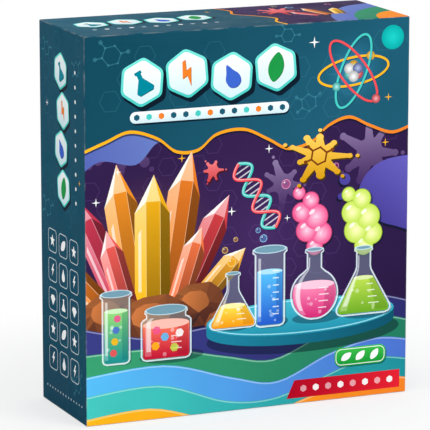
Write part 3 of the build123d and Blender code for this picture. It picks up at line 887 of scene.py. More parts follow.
def atom(art, middle, radius, inks, wide=1.6):
    """Three crossed orbits round a cluster of balls."""
    u, v = middle
    art.ball(middle, radius * 1.15, sky, deep_teal, 0.55, 0.0, rings=6, steps=36)
    for turn, ink in zip((0, 60, 120), inks):
        ring = oval(middle, radius, radius * 0.36, turn + 8, steps=56)
        art.line(moved(ring, (0.5, -0.7)), wide, flat(shadow, 0.35), closed=True)
        art.line(ring, wide, flat(ink), closed=True)
        art.ball(ring[9 + turn // 6], radius * 0.12, lighter(ink, 0.6), darker(ink, 0.75), rings=2, steps=16)
    balls = zip((90, 210, 330, 150, 30, 270), (*inks, white, periwinkle, white))
    for angle, ink in balls:
        turn = math.radians(angle)
        place = (u + radius * 0.14 * math.cos(turn), v + radius * 0.14 * math.sin(turn))
        art.ball(place, radius * 0.145, lighter(ink, 0.5), darker(ink, 0.68), rings=3, steps=18)


def molecule(art, middle, size, turn, ink=pale_teal, wide=0.8, cover=0.6):
    """A ring of six bonds with balls at some corners and a side arm."""
    tips = oval(middle, size, turn=turn, steps=6)
    art.line(tips, wide, flat(ink, cover), closed=True, piece=1)
    for index in (0, 2, 3):
        arm = oval(middle, size * 1.75, turn=turn + 60 * index, steps=1)[0]
        art.line([tips[index], arm], wide, flat(ink, cover))
        art.fill(oval(arm, size * 0.22, steps=14), flat(ink, cover))
    for tip in tips:
        art.fill(oval(tip, size * 0.13, steps=12), flat(ink, cover))


def helix(art, start, end, wide, first, last):
    """Two strands that cross and the rungs between them."""
    turns = 2.0
    run = (end[0] - start[0], end[1] - start[1])
    length = math.hypot(*run)
    across = (-run[1] / length, run[0] / length)
    strands = ([], [])
    for step in range(61):
        t = step / 60
        for side, strand in zip((1, -1), strands):
            off = side * wide / 2 * math.sin(t * turns * math.tau)
            strand.append((start[0] + run[0] * t + across[0] * off, start[1] + run[1] * t + across[1] * off))
    for step in range(2, 60, 4):
        art.line([strands[0][step], strands[1][step]], 0.9, flat(white, 0.75))
    for strand, ink in zip(strands, (first, last)):
        art.line(moved(strand, (0.5, -0.6)), 2.2, flat(shadow, 0.4))
        art.line(strand, 2.2, flat(ink))
        art.line(moved(strand, (-0.3, 0.35)), 0.5, flat(white, 0.6))


# %% Glass vessels
# Heights and half widths, from the foot to the lip
conical = [
    (0, 15), (0.8, 17.6), (2.6, 19), (5, 18.9), (26, 7), (29, 5.4), (31.5, 4.8), (41, 4.8), (42, 6.2),
    (43.6, 6.2),
]
straight = [(0, 6), (0.8, 8.2), (2.4, 9), (4, 9), (42, 9), (43.5, 10.6), (45, 10.6)]
low_jar = [
    (0, 14), (1, 16.4), (3, 17.5), (26, 17.5), (27.5, 16), (28.5, 13.8), (31, 13.8), (32, 15), (33.5, 15)
]
round_body = [(16 + 16 * math.sin(math.radians(a)), 16 * math.cos(math.radians(a))) for a in range(-82, 70, 8)]
round_flask = round_body + [(32.6, 4.8), (42, 4.8), (43, 6.2), (44.6, 6.2)]


def width_at(profile, height):
    for (low, first), (high, last) in zip(profile, profile[1:]):
        if low <= height <= high:
            return first + (last - first) * (height - low) / (high - low)
    return profile[-1][1]


def vessel(art, foot, profile, level, light, deep, scale=1.0, marks=4, seed=0):
    """A glass vessel with coloured liquid up to a level, seen from the front."""
    draw = random.Random(seed)

    def put(points):
        return moved(points, foot, scale)

    def band(share_left, share_right, low, high):
        heights = [low + (high - low) * k / 12 for k in range(13)]
        right = [(share_right * width_at(profile, h), h) for h in heights]
        return put(right + [(share_left * width_at(profile, h), h) for h in reversed(heights)])

    top, lip = profile[-1]
    whole = [(half, h) for h, half in profile]
    outline = put(whole + [(-half, h) for half, h in reversed(whole)])
    art.fill(moved(outline, (1.2 * scale, -scale)), flat(shadow, 0.3))
    art.fill(outline, flat((214, 238, 248), 0.3))
    brim = width_at(profile, level) - 1.1
    inset = [(max(half - 1.1, 0.3), max(h, 1.0)) for h, half in profile if h < level] + [(brim, level)]
    low, high = put([(0, 1.0)])[0], put([(0, level)])[0]
    art.fill(put(inset + [(-half, h) for half, h in reversed(inset)]), fade(high, low, light, deep))
    art.fill(band(0.45, 0.9, 2.5, level), flat(darker(deep, 0.7), 0.3))
    art.fill(band(-0.86, -0.6, 3, level - 1), flat(white, 0.28))
    art.fill(put(oval((0, level), brim, max(brim * 0.2, 1.2), steps=24)), flat(lighter(light, 0.5)))
    for _ in range(7):
        height = draw.uniform(3, level * 0.85)
        spot = put([(draw.uniform(-0.6, 0.55) * width_at(profile, height), height)])[0]
        art.fill(oval(spot, draw.uniform(0.5, 1.5) * scale, steps=12), flat(white, 0.4))
    art.fill(band(-0.8, -0.62, 6, top - 5), flat(white, 0.55))
    for mark in range(marks):
        height = 7 + mark * 4.2
        half = width_at(profile, height)
        art.line(put([(half * 0.2, height), (half * 0.62, height)]), 0.7 * scale, flat(white, 0.75))
    art.line(outline, 1.0 * scale, flat((232, 246, 250), 0.85), closed=True)
    art.fill(put(oval((0, top), lip, lip * 0.24, steps=20)), flat((190, 224, 234), 0.9))
    art.fill(put(oval((0, top), lip - 1.2, lip * 0.24 - 0.6, steps=20)), flat((96, 140, 160), 0.8))


def foam(art, puffs, light, deep):
    """A cloud of round puffs, with an outline behind and shine in front."""
    for u, v, radius in puffs:
        art.fill(oval((u + 0.8, v - 1.0), radius + 0.9, steps=22), flat(shadow, 0.5))
    for u, v, radius in puffs:
        art.fill(oval((u, v), radius + 0.5, steps=22), flat(darker(deep, 0.72)))
    for u, v, radius in puffs:
        art.ball((u, v), radius, light, deep, rings=3, steps=22)
    for u, v, radius in puffs:
        shine = oval((u - radius * 0.35, v + radius * 0.42), radius * 0.3, radius * 0.15, 35, steps=10)
        art.fill(shine, flat(white, 0.75))


# %% Crystals, rock and backgrounds


def crystal(art, foot, tall, wide, turn, ink):
    """A six-sided prism with a point, seen so that three of its sides show."""
    light, dark = lighter(ink, 0.55), darker(ink, 0.62)
    half = wide / 2
    left, right = -half * 0.35, half * 0.45
    tip, knee_left, knee_right = (half * 0.1, tall), (left, tall * 0.8), (right, tall * 0.8)
    low, high = moved([(0, 0), (0, tall)], foot, turn=turn)
    shine = [
        (-half * 0.8, tall * 0.12), (-half * 0.62, tall * 0.12),
        (-half * 0.62, tall * 0.6), (-half * 0.8, tall * 0.56),
    ]
    for points, first, last in (
        ([(-half, 0), (left, 0), knee_left, (-half, tall * 0.72)], ink, light),
        ([(left, 0), (right, 0), knee_right, knee_left], dark, ink),
        ([(right, 0), (half, 0), (half, tall * 0.7), knee_right], darker(dark, 0.7), dark),
        ([(-half, tall * 0.72), knee_left, tip], light, white),
        ([knee_left, knee_right, tip], ink, light),
        ([knee_right, (half, tall * 0.7), tip], dark, ink),
    ):
        art.fill(moved(points, foot, turn=turn), fade(low, high, first, last))
    art.fill(moved(shine, foot, turn=turn), flat(white, 0.6))
    for edge in ([(left, 0), knee_left, tip], [(right, 0), knee_right, tip]):
        art.line(moved(edge, foot, turn=turn), 0.45, flat(light, 0.7), piece=1)


def rock(art, middle, wide, high, seed):
    """A boulder with flat chips, lit from the upper left."""
    draw = random.Random(seed)
    u, v = middle
    rim, inner = [], []
    for k in range(10):
        angle = math.tau * (k + draw.uniform(-0.25, 0.25)) / 10
        reach = draw.uniform(0.88, 1.06)
        rim.append((u + wide / 2 * math.cos(angle) * reach, v + high / 2 * math.sin(angle) * reach))
        inner.append((u + wide * (0.24 * math.cos(angle) - 0.05), v + high * (0.24 * math.sin(angle) + 0.08)))
    art.fill(moved(rim, (1.0, -1.4)), flat(shadow, 0.4))
    art.fill(rim, flat(dark_brown))
    for k in range(10):
        a, b, c, d = rim[k], rim[(k + 1) % 10], inner[(k + 1) % 10], inner[k]
        lit = 0.5 + 0.5 * math.cos(math.tau * (k + 0.5) / 10 - math.radians(125))
        for chip, extra in (([a, b, d], 0.0), ([b, c, d], 0.14)):
            share = min(max(lit * 0.85 + extra + draw.uniform(-0.1, 0.1), 0), 1)
            art.fill(chip, flat(tuple(x + (y - x) * share for x, y in zip(dark_brown, brown))))
    art.fill(inner, fade(inner[4], inner[9], tuple(c * 1.3 for c in brown), brown))


def hexagon_net(art, low, high, pitch, ink, cover, seed, share):
    """A faint net of hexagons with some of them left out."""
    draw = random.Random(seed)
    rows = int((high[1] - low[1]) / (pitch * 0.866)) + 1
    columns = int((high[0] - low[0]) / (pitch * 1.5)) + 2
    for row in range(rows):
        for column in range(columns):
            middle = (low[0] + pitch * 1.5 * (column + 0.5 * (row % 2)), low[1] + pitch * 0.866 * row)
            if draw.random() < share:
                art.line(oval(middle, pitch * 0.46, steps=6), 0.5, flat(ink, cover), closed=True, piece=1)


def wave(art, crest, paint, closing):
    """A field of colour under or over a curved edge."""
    art.fill(smooth(crest, closed=False, steps=6) + closing, paint)


def layers(art, edge, closing, *steps):
    """The same field several times, each with its shift and its paint."""
    for shift, paint in steps:
        wave(art, moved(edge, shift), paint, closing)


def ground(art, crests, start, end, wide):
    """Waves along the foot of a face, each with a line of light under its crest."""
    for crest, first, last in crests:
        wave(art, crest, fade(start, end, first, last), [(250, -8), (-6, -8)])
        art.line(smooth(moved(crest, (0, -0.9)), closed=False, steps=6), wide, flat(white, 0.4))


# %% [markdown]
# ## Front of the lid
# A teal sky with a heading of tiles stands over a purple night. Crystals grow on a rock at the
# left, glass vessels bubble on a bench at the right, and bright waves run along the ground.

# %% Draw the front


def draw_front():
    art = Drawing(case_width, case_height)
    right, top = case_width, case_height
    art.fill(box(0, 0, right, top), fade((60, top), (150, 0), purple, deep_purple))
    art.ball((133, 120), 112, plum, purple, 0.5, 0.0, rings=8, steps=48)
    for middle, size, seed in (((213, 176), 20, 3), ((147, 158), 15, 4), ((29, 196), 24, 6)):
        splash(art, middle, size, (82, 54, 112), 7, seed, shaded=False)
    hexagon_net(art, (4, 60), (240, 200), 15, lilac, 0.35, 11, 0.4)
    # A bank of colour from the right with two loose drops
    bank = [(249, 116), (235, 121), (221, 126), (209, 136), (205, 150), (213, 163), (227, 170), (249, 172)]
    for shift, paint in (
        ((-1.2, -1.6), flat(shadow, 0.6)),
        ((0, 0), fade((243, 176), (203, 122), (104, 96, 188), (60, 52, 134))),
    ):
        wave(art, moved(bank, shift), paint, [(251, 150)])
        for middle, radius in (((194, 158), 4.2), ((191, 146), 2.4)):
            art.fill(oval(moved([middle], shift)[0], radius, steps=20), paint)
    hill = [(-7, 172), (11, 184), (37, 180), (53, 194), (67, 190), (83, 204), (71, 214), (-7, 214)]
    wave(art, hill, fade((73, 200), (0, 180), periwinkle, dusk), [(-9, 200)])
    # Teal sky over a piped edge
    edge = [(-7, 190), (15, 198), (33, 204), (53, 198), (67, 188), (83, 188), (97, 198), (117, 200),
            (135, 192), (151, 184), (169, 188), (181, 198), (197, 203), (213, 196), (231, 190), (249, 196)]
    layers(
        art, edge, [(250, 280), (-6, 280)], ((0, -3.6), flat(shadow, 0.55)),
        ((0, -2.2), fade((0, 200), (243, 200), amber, orange)),
        ((0, 0), fade((60, 275), (150, 190), deep_teal, teal)),
    )
    hexagon_net(art, (6, 210), (240, 268), 17, pale_teal, 0.38, 5, 0.55)
    scatter(molecule, art, ((20, 256), 7, 10), ((166, 214), 6, 35), ((150, 262), 5, 0), cover=0.55)
    # Heading of tiles with a dotted bar
    tile_row(art, (42, 238), (33, 0), 15.5, ((0, -1.6), (0, 2.4)))
    art.fill(rounded_box((92.5, 211.4), 118, 8.6, 4.3), flat(shadow, 0.8))
    art.fill(rounded_box((92, 212.4), 118, 8.0, 4.0), fade((92, 217), (92, 208), white, (204, 230, 238)))
    dot_row(art, (38, 212.4), (9, 0), 13, 2.3, flat(teal), flat(mint), flat(orange), flat(teal))
    atom(art, (200, 234), 27, (amber, mint, coral))
    art.ball((230, 256), 8.6, (30, 206, 196), (8, 168, 164), rings=6, steps=40)
    scatter(sparkle, art, ((170, 256), 4.2), ((227, 214), 3.0, amber))
    # Crystals on a rock
    art.ball((49, 122), 58, (255, 180, 90), purple, 0.6, 0.0, rings=8, steps=44)
    scatter(
        crystal, art, ((71, 84), 78, 20, -26, (214, 64, 70)), ((27, 84), 82, 20, 24, (206, 58, 84)),
        ((61, 84), 104, 24, -9, orange), ((37, 84), 98, 24, 9, (250, 150, 40)),
        ((83, 80), 50, 16, -44, (246, 170, 50)), ((15, 80), 52, 17, 42, orange), ((49, 80), 92, 26, 0, amber),
        ((67, 78), 58, 17, -18, (250, 120, 70)), ((31, 78), 60, 17, 16, (248, 96, 88)),
    )
    scatter(
        rock, art, ((83, 78), 44, 34, 21), ((17, 76), 46, 36, 22), ((51, 70), 62, 40, 23),
        ((101, 64), 26, 20, 24),
    )
    scatter(
        sparkle, art, ((108, 142), 3.4), ((8, 156), 3.2), ((71, 182), 3.0, amber), ((24, 176), 2.6),
        ((150, 134), 2.4),
    )
    far_hill = (58, 62, 132), (44, 44, 104)
    ground(art, (
        ([(-7, 70), (47, 58), (93, 62), (133, 54), (173, 66), (213, 74), (249, 66)], *far_hill),
        ([(-7, 50), (53, 50), (103, 40), (139, 34), (177, 48), (217, 58), (249, 52)], green, deep_green),
        ([(-7, 34), (57, 38), (109, 24), (143, 18), (183, 34), (219, 42), (249, 38)], sky, blue),
        ([(-7, 20), (53, 24), (103, 8), (139, 6), (173, 16), (213, 28), (249, 24)], mint, deep_mint),
        ([(-7, 4), (47, 8), (93, -4), (133, -6), (167, 4), (209, 14), (249, 10)], amber, orange),
    ), (0, 10), (243, 60), 0.9)
    # Bench with four vessels
    bench = (30, 132, 158), (14, 82, 104)
    art.fill(oval((163, 50), 74, 13, steps=56), flat(shadow, 0.45))
    art.fill(oval((161, 56), 72, 13, steps=56), fade((89, 52), (233, 52), *bench))
    art.fill(box(89, 56, 233, 63), fade((89, 56), (233, 56), *bench))
    art.fill(oval((161, 63), 72, 13, steps=56), fade((161, 76), (161, 50), (70, 184, 204), (34, 142, 168)))
    art.line(oval((161, 63), 70, 11.6, steps=56), 0.8, flat((160, 226, 236), 0.9), closed=True)
    for u, wide in ((209, 19), (171, 19), (137, 12), (109, 12)):
        art.fill(oval((u + 2, 61), wide, 4.2, steps=28), flat(shadow, 0.35))
    foam(art, (
        (209, 110, 7), (215, 118, 8), (203, 121, 9), (212, 130, 9), (200, 134, 8), (207, 143, 7), (197, 147, 5)
    ), *lime_foam)
    foam(art, (
        (171, 112, 6), (176, 121, 8), (165, 124, 8), (172, 133, 9), (161, 137, 7), (168, 145, 6), (159, 151, 4.5)
    ), (255, 214, 230), pink)
    vessel(art, (209, 60), conical, 24, *lime_liquid, 1.1, seed=1)
    vessel(art, (171, 60), round_flask, 22, *rose_liquid, 1.12, seed=2)
    vessel(art, (137, 58), straight, 32, *blue_liquid, 1.22, seed=3, marks=7)
    vessel(art, (109, 59), conical, 18, (255, 226, 80), (246, 150, 20), 0.9, seed=4)
    helix(art, (141, 128), (113, 175), 15, mint, coral)
    scatter(
        bubble, art, ((132, 121), 2.6, sky), ((128, 127), 1.8, sky), ((108, 106), 3, amber),
        ((103, 115), 2.2, amber), ((111, 122), 1.6, amber), ((149, 158), 3.2, pink), ((187, 168), 2.2, pink),
    )
    splash(art, (174, 176), 16, amber, 9, 8, stretch=1.25)
    molecule(art, (174, 176), 6.2, 20, (122, 62, 20), 1.5, 1.0)
    splash(art, (94, 172), 8, coral, 6, 9)
    scatter(sparkle, art, ((136, 184), 3.2), ((225, 182), 3.0, amber))
    # Small vessels in front of the rock
    art.fill(oval((63, 44), 24, 5, steps=30), flat(shadow, 0.35))
    vessel(art, (59, 42), low_jar, 24, (250, 120, 90), (190, 20, 50), 1.05, seed=5, marks=3)
    for u, v, ink in ((51, 52, amber), (65, 50, lime), (58, 58, sky), (69, 60, white), (52, 63, pink)):
        art.fill(hexagon((u, v), 3.2, turn=u), flat(ink, 0.85))
    vessel(art, (22, 42), straight, 34, (150, 220, 120), (28, 140, 140), 1.1, seed=6, marks=0)
    for v, ink in ((50, coral), (58, amber), (66, blue), (74, pink)):
        art.fill(hexagon((19 + v % 7, v), 2.8, turn=v), flat(ink, 0.9))
    # Plain badge and strip
    art.fill(rounded_box((207.6, 29.2), 40, 13.6, 5), flat(shadow, 0.4))
    art.fill(rounded_box((207, 30), 40, 13.6, 5), fade((207, 37), (207, 23), (64, 192, 74), (20, 146, 52)))
    art.line(rounded_box((207, 30), 37.6, 11.2, 4), 0.6, flat(white, 0.9), closed=True)
    for step in range(3):
        sign(art, "leaf", (196 + 11 * step, 30), 3.8, white, 10 * step - 10)
    strip = [(150, 4), (238, 4), (238, 17), (156, 17)]
    art.fill(strip, fade((150, 10), (238, 10), (176, 10, 36), (226, 34, 50)))
    dot_row(art, (163, 10.5), (9.6, 0), 8, 2.6, flat(white, 0.6), flat(white, 0.95))
    return art


left, front, low = (value / MM for value in lid_low)
right, back, high = (value / MM for value in lid_high)
lay_print("print_front", draw_front(), (left, front, 0), (1, 0, 0), (0, 0, 1))

# %% [markdown]
# ## Sides, top and underside of the lid
# The teal wraps round the sides with a column of tiles and a small chart of signs. On the top
# the teal meets the purple at a slanting piped edge. Each drawing is laid on its own face and
# meets its neighbours at the middle of the folds.

# %% Draw the sides


def draw_side(seed):
    art = Drawing(case_depth, case_height)
    wide, high = case_depth, case_height
    below = [(92, -6), (-6, -6)]
    art.fill(box(0, 0, wide, high), fade((0, high), (wide, 0), (20, 80, 101), (10, 73, 95)))
    crest = [(-6, 150), (16, 166), (40, 150), (62, 138), (92, 152)]
    wave(art, crest, fade((0, 160), (0, 60), (15, 76, 97), (7, 71, 93)), below)
    wave(art, [(-6, 34), (20, 44), (48, 30), (70, 22), (92, 30)], flat((5, 68, 90)), below)
    hexagon_net(art, (2, 6), (84, 266), 14, pale_teal, 0.34, seed, 0.5)
    scatter(
        molecule, art, ((14, 252), 5, 12), ((72, 246), 5, 40), ((14, 140), 6, 20), ((70, 26), 6, 50), wide=0.7
    )
    tile_row(art, (43, 240), (0, -27), 12, ((-2, 0), (2, 0)))
    dot_row(art, (69, 243), (0, -10), 10, 1.5, flat(white, 0.9))
    kinds = ("gem", "drop", "star", "flask", "bolt", "leaf")
    for row in range(5):
        for column in range(3):
            middle = (22 + 21 * column, 118 - 21 * row)
            art.line(rounded_box(middle, 16, 16, 3.4), 0.6, flat(white, 0.8), closed=True)
            sign(art, kinds[(row * 2 + column * 3 + seed) % 6], middle, 4.6, white)
    for step in range(14):
        art.fill(oval((9.5 + 5.2 * step, 12), 0.8, steps=10), flat(white, 0.75))
    scatter(sparkle, art, ((14, 214), 2.6), ((76, 168), 2.2, amber))
    return art


# %% Draw the top and the underside


def draw_top():
    art = Drawing(case_width, case_depth)
    wide, high = case_width, case_depth
    art.fill(box(0, 0, wide, high), fade((140, high), (wide, 0), purple, deep_purple))
    hexagon_net(art, (130, 4), (240, 84), 15, lilac, 0.4, 31, 0.5)
    for crest, first, last in (
        ([(186, -6), (192, 20), (206, 44), (224, 62), (250, 70)], periwinkle, dusk),
        ([(202, -6), (208, 16), (220, 36), (236, 48), (250, 52)], green, deep_green),
        ([(218, -6), (222, 10), (232, 24), (250, 32)], amber, orange),
    ):
        wave(art, crest, fade((200, 60), (243, 0), first, last), [(250, -6)])
    splash(art, (168, 56), 13, coral, 8, 41)
    scatter(
        crystal, art, ((196, 30), 34, 9, 14, orange), ((204, 30), 28, 9, -12, amber),
        ((188, 30), 24, 9, 38, coral),
    )
    scatter(
        bubble, art, ((182, 70), 3, sky), ((174, 78), 2, lime), ((214, 74), 2.4, pink), ((150, 22), 2.6, amber)
    )
    edge = [(150, -6), (146, 12), (152, 28), (142, 44), (132, 56), (136, 72), (126, 92)]
    layers(
        art, edge, [(-6, 92), (-6, -6)], ((3.4, 0), flat(shadow, 0.5)),
        ((2.0, 0), fade((0, 0), (0, 86), amber, orange)), ((0, 0), fade((0, 86), (150, 0), teal, deep_teal)),
    )
    hexagon_net(art, (4, 4), (122, 84), 15, pale_teal, 0.36, 32, 0.5)
    tile_row(art, (24, 50), (26, 0), 11.5, ((0, -1.2), (0, 1.6)))
    dot_row(art, (18, 26), (9, 0), 11, 1.9, flat(white, 0.6), flat(white, 0.95))
    sparkle(art, (120, 72), 2.8, amber)
    return art


def draw_plain(wide, high, seed):
    """Plain paper with a faint net of hexagons."""
    art = Drawing(wide, high)
    art.fill(box(0, 0, wide, high), fade((0, high), (wide, 0), teal, deep_teal))
    hexagon_net(art, (3, 3), (wide - 3, high - 3), 15, pale_teal, 0.4, seed, 0.55)
    return art


lay_print("print_left", draw_side(2), (left, back, low), (0, -1, 0), (0, 0, 1), rim_u=("low",))
lay_print("print_right", draw_side(5), (right, front, low), (0, 1, 0), (0, 0, 1), rim_u=("high",))
lay_print("print_top", draw_top(), (left, front, high), (1, 0, 0), (0, 1, 0), rim_v=("high",))
underside = draw_plain(case_width, case_depth, 7)
lay_print("print_underside", underside, (left, back, low), (1, 0, 0), (0, -1, 0), rim_v=("low",))

# %% [markdown]
# ## Back of the base and the booklet cover
# The booklet has a paper cover with its own small drawing, trimmed square at the edges.

# %% Draw the back of the base


def card(art, middle, wide, high, last):
    """A panel with a white rim and round corners, and rows of dots under it."""
    u, v = middle
    art.fill(rounded_box((u + 1.0, v - 1.4), wide + 2.8, high + 2.8, 6), flat(shadow, 0.4))
    art.fill(rounded_box(middle, wide + 2.6, high + 2.6, 6), flat(white))
    art.fill(rounded_box(middle, wide, high, 5), fade((u, v + high / 2), (u, v - high / 2), purple, last))
    art.line(oval((u, v - high / 2 + 9), wide * 0.36, 4, steps=28), 0.6, flat(white, 0.3), closed=True)
    for row, (count, cover) in enumerate(((9, 0.75), (7, 0.9))):
        start = (u - wide / 2 + 4, v - high / 2 - 6.4 - 5 * row)
        dot_row(art, start, (6.2, 0), count, 1.15, flat(white, cover))


def draw_back(wide, high):
    art = draw_plain(wide, high, 9)
    scatter(molecule, art, ((222, 214), 6, 15), ((12, 150), 5, 40), ((226, 66), 5, 10))
    tile_row(art, (34, high - 26), (28, 0), 12, ((0, -1.2), (0, 1.6)))
    art.fill(rounded_box((188, high - 26), 66, 8.0, 4.0), flat(white, 0.92))
    dot_row(art, (161, high - 26), (9, 0), 7, 2.3, flat(teal), flat(mint), flat(orange))
    columns, rows = (wide / 2 - 75, wide / 2, wide / 2 + 75), (high - 84, high - 160)
    for v, last in zip(rows, (plum, (44, 84, 124))):
        for u in columns:
            card(art, (u, v), 62, 54, last)
    (left, centre, right), (upper, lower) = columns, rows
    foam(art, [(left, upper + 12, 4), (left - 4, upper + 17, 4.6), (left + 4, upper + 19, 4)], *lime_foam)
    vessel(art, (left, upper - 21), conical, 22, *lime_liquid, 0.72, marks=3, seed=31)
    for foot, tall, turn, ink in ((-8, 30, 20, coral), (8, 32, -18, orange), (0, 42, 0, amber)):
        crystal(art, (centre + foot, upper - 17), tall, 10, turn, ink)
    rock(art, (centre, upper - 18), 38, 15, 32)
    for step, liquid in enumerate(((pink, (206, 40, 112)), blue_liquid, (amber, orange))):
        foot = (right - 18 + 18 * step, upper - 20)
        vessel(art, foot, straight, 20 + 5 * step, *liquid, 0.78, marks=4, seed=33 + step)
    splash(art, (left - 15, lower + 14), 8, coral, 7, 36)
    vessel(art, (left + 4, lower - 21), round_flask, 22, *rose_liquid, 0.86, marks=3, seed=37)
    helix(art, (centre - 20, lower - 14), (centre + 20, lower + 16), 13, mint, coral)
    vessel(art, (right, lower - 21), low_jar, 22, *blue_liquid, 1.1, marks=3, seed=38)
    for dot, ink in enumerate((amber, coral, lime, white)):
        art.fill(hexagon((right - 9 + 6 * dot, lower - 12 + 5 * (dot % 3)), 2.6, turn=20 * dot), flat(ink, 0.9))
    scatter(
        bubble, art, ((left + 14, upper + 16), 2.4, lime), ((centre - 20, upper + 14), 2.6, amber),
        ((centre + 22, upper + 8), 2.0, coral), ((left + 20, lower + 6), 2.2, pink),
        ((right - 20, lower + 14), 2.6, sky), ((right + 20, lower + 18), 2.0, mint),
    )
    ground(art, (
        ([(-6, 44), (40, 36), (90, 46), (140, 34), (190, 42), (250, 34)], green, deep_green),
        ([(-6, 30), (36, 36), (84, 24), (130, 30), (184, 20), (250, 28)], sky, blue),
        ([(-6, 18), (44, 10), (96, 18), (150, 8), (200, 14), (250, 6)], amber, orange),
    ), (0, 40), (wide, 10), 0.8)
    return art


base_low, base_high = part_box("base")
base_wide = (base_high[0] - base_low[0]) / MM
base_tall = (base_high[2] - base_low[2]) / MM
base_corner = (base_high[0] / MM, base_high[1] / MM, base_low[2] / MM)
base_print = lay_print("base_print", draw_back(base_wide, base_tall), base_corner, (-1, 0, 0), (0, 0, 1))

# %% Draw the booklet cover
book_low, book_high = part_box("instruction_booklet")


def draw_cover():
    wide, high = (book_high[0] - book_low[0]) / MM, (book_high[2] - book_low[2]) / MM
    art = Drawing(wide, high)
    art.fill(box(0, 0, wide, high), fade((0, high), (0, 0), (250, 252, 252), (228, 242, 246)))
    hexagon_net(art, (4, 60), (wide - 4, 170), 16, (180, 214, 222), 0.7, 14, 0.5)
    edge = [(-6, 178), (30, 168), (70, 182), (110, 172), (176, 184)]
    layers(
        art, edge, [(176, 246), (-6, 246)], ((0, 0), flat(amber)),
        ((0, 3), fade((0, 240), (170, 180), deep_teal, teal)),
    )
    tile_row(art, (36, 210), (33, 0), 14, tilts=(0, 0))
    atom(art, (85, 122), 36, (orange, mint, coral), 2.0)
    vessel(art, (34, 34), conical, 22, *lime_liquid, 1.0, seed=11)
    vessel(art, (136, 34), round_flask, 22, *rose_liquid, 1.0, seed=12)
    below = [(176, -6), (-6, -6)]
    crest = [(-6, 24), (40, 30), (84, 20), (130, 28), (176, 20)]
    wave(art, crest, fade((0, 20), (170, 20), *mint_liquid), below)
    wave(art, [(-6, 12), (40, 16), (90, 8), (176, 12)], fade((0, 10), (170, 10), amber, orange), below)
    scatter(
        bubble, art, ((52, 88), 4, lime), ((60, 98), 2.6, lime), ((118, 86), 3.4, pink), ((108, 94), 2.2, pink)
    )
    return art


book_corner = [value / MM for value in book_low]
cover_print = lay_print(
    "booklet_cover", draw_cover(), book_corner, (1, 0, 0), (0, 0, 1), rim_u=both, rim_v=both
)

# %% [markdown]
# ## Finish of the print
# Laminated paper is smooth with a soft shine. Its ink varies a little, and on the folds the
# print rubs off and shows pale fibre.

# %% Printed ink


def make_print_finish(name, rough=(0.42, 0.56), shine=0.012):
    """Ink from the sheet's own colours under a thin laminate."""
    material = make_finish(name, (255, 255, 255), (247, 247, 248), 20, rough, 0.03, Specular_IOR_Level=shine)
    tree, shader, tint = opened(material)
    ink = add(tree, "ShaderNodeVertexColor", {"layer_name": "ink"}).outputs["Color"]
    inked = blend(tree, 1.0, ink, tint, blend_type="MULTIPLY")
    worn = add(tree, "ShaderNodeGroup", {"node_tree": fold_wear}, Reach=0.0011, Amount=0.3).outputs["Mask"]
    feed(tree, shader, Base_Color=blend(tree, worn, inked, opaque((226, 222, 214))))
    return material


lid_ink = make_print_finish("lid_ink")
for sheet in [item for item in bpy.data.objects if item.name.startswith("print_")]:
    sheet.data.materials.append(lid_ink)
    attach(sheet, "lid")
base_print.data.materials.append(lid_ink)
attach(base_print, "base")
cover_print.data.materials.append(make_print_finish("cover_ink", (0.38, 0.5), 0.2))
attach(cover_print, "booklet")

# %% [markdown]
# Each jar lid has a round sticker, and the bottle a paper label bent round its wall. They use
# the same outlines and inks as the lid of the case. A sticker turns with its jar lid.

# %% Stickers on the jar lids and a label on the bottle
sticker_radius = 13.0
sticker_ink = make_print_finish("sticker_ink", (0.34, 0.46), 0.3)


def draw_sticker(kind, ink):
    """A coloured ring round a white field with one sign."""
    art = Drawing(2 * sticker_radius, 2 * sticker_radius)
    middle = (sticker_radius, sticker_radius)
    art.edge = oval(middle, sticker_radius - 0.6, steps=56)
    art.fill(box(0, 0, art.wide, art.high), flat(ink))
    art.fill(oval(middle, sticker_radius - 2.6, steps=48), flat(white))
    art.line(oval(middle, sticker_radius - 3.6, steps=48), 0.5, flat(ink), closed=True)
    sign(art, kind, middle, 6.4, darker(ink, 0.7))
    return art


lid_labels = ((coral, "star"), (amber, "bolt"), (sky, "drop"), (lime, "leaf"))
for number, (ink, kind) in enumerate(lid_labels, 1):
    low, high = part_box(f"jar_lid_{number}")
    u, v = ((low[axis] + high[axis]) / 2 / MM - sticker_radius for axis in (0, 2))
    corner = (u, low[1] / MM, v)
    art = draw_sticker(kind, ink)
    sticker = lay_print(f"sticker_{number}", art, corner, (1, 0, 0), (0, 0, 1), rim_u=both, rim_v=both)
    sticker.data.materials.append(sticker_ink)
    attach(sticker, f"jar_lid_{number}")


def draw_label(wide, high):
    """A white label with a teal head, a row of signs and a scale of hexagons."""
    art = Drawing(wide, high)
    art.fill(box(0, 0, wide, high), flat(white))
    art.fill(box(0, high - 11, wide, high), fade((0, high), (wide, high), deep_teal, teal))
    art.fill(box(0, high - 12.2, wide, high - 11), flat(amber))
    for step, kind in enumerate(("flask", "drop", "leaf")):
        sign(art, kind, (wide / 2 - 9 + 9 * step, high - 5.5), 3.2, white)
    vessel(art, (wide / 2, 5.4), conical, 20, *mint_liquid, 0.34, seed=21)
    dot_row(art, (5, 2.6), ((wide - 10) / 6, 0), 7, 0.9, flat(mint), flat(orange), flat(teal))
    return art


label_wide, label_high, label_rise = 42.0, 34.0, 14.0
bottle_low, bottle_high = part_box("bottle")
bottle_middle = (bottle_low[0] + bottle_high[0]) / 2 / MM
bottle_label = lay_print(
    "bottle_label", draw_label(label_wide, label_high),
    (bottle_middle - label_wide / 2, bottle_low[1] / MM, bottle_low[2] / MM + label_rise),
    (1, 0, 0), (0, 0, 1), rim_u=both, rim_v=both, bow=(bottle_high[0] - bottle_low[0]) / 2 / MM,
)
bottle_label.data.materials.append(sticker_ink)
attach(bottle_label, "tray_and_kit")

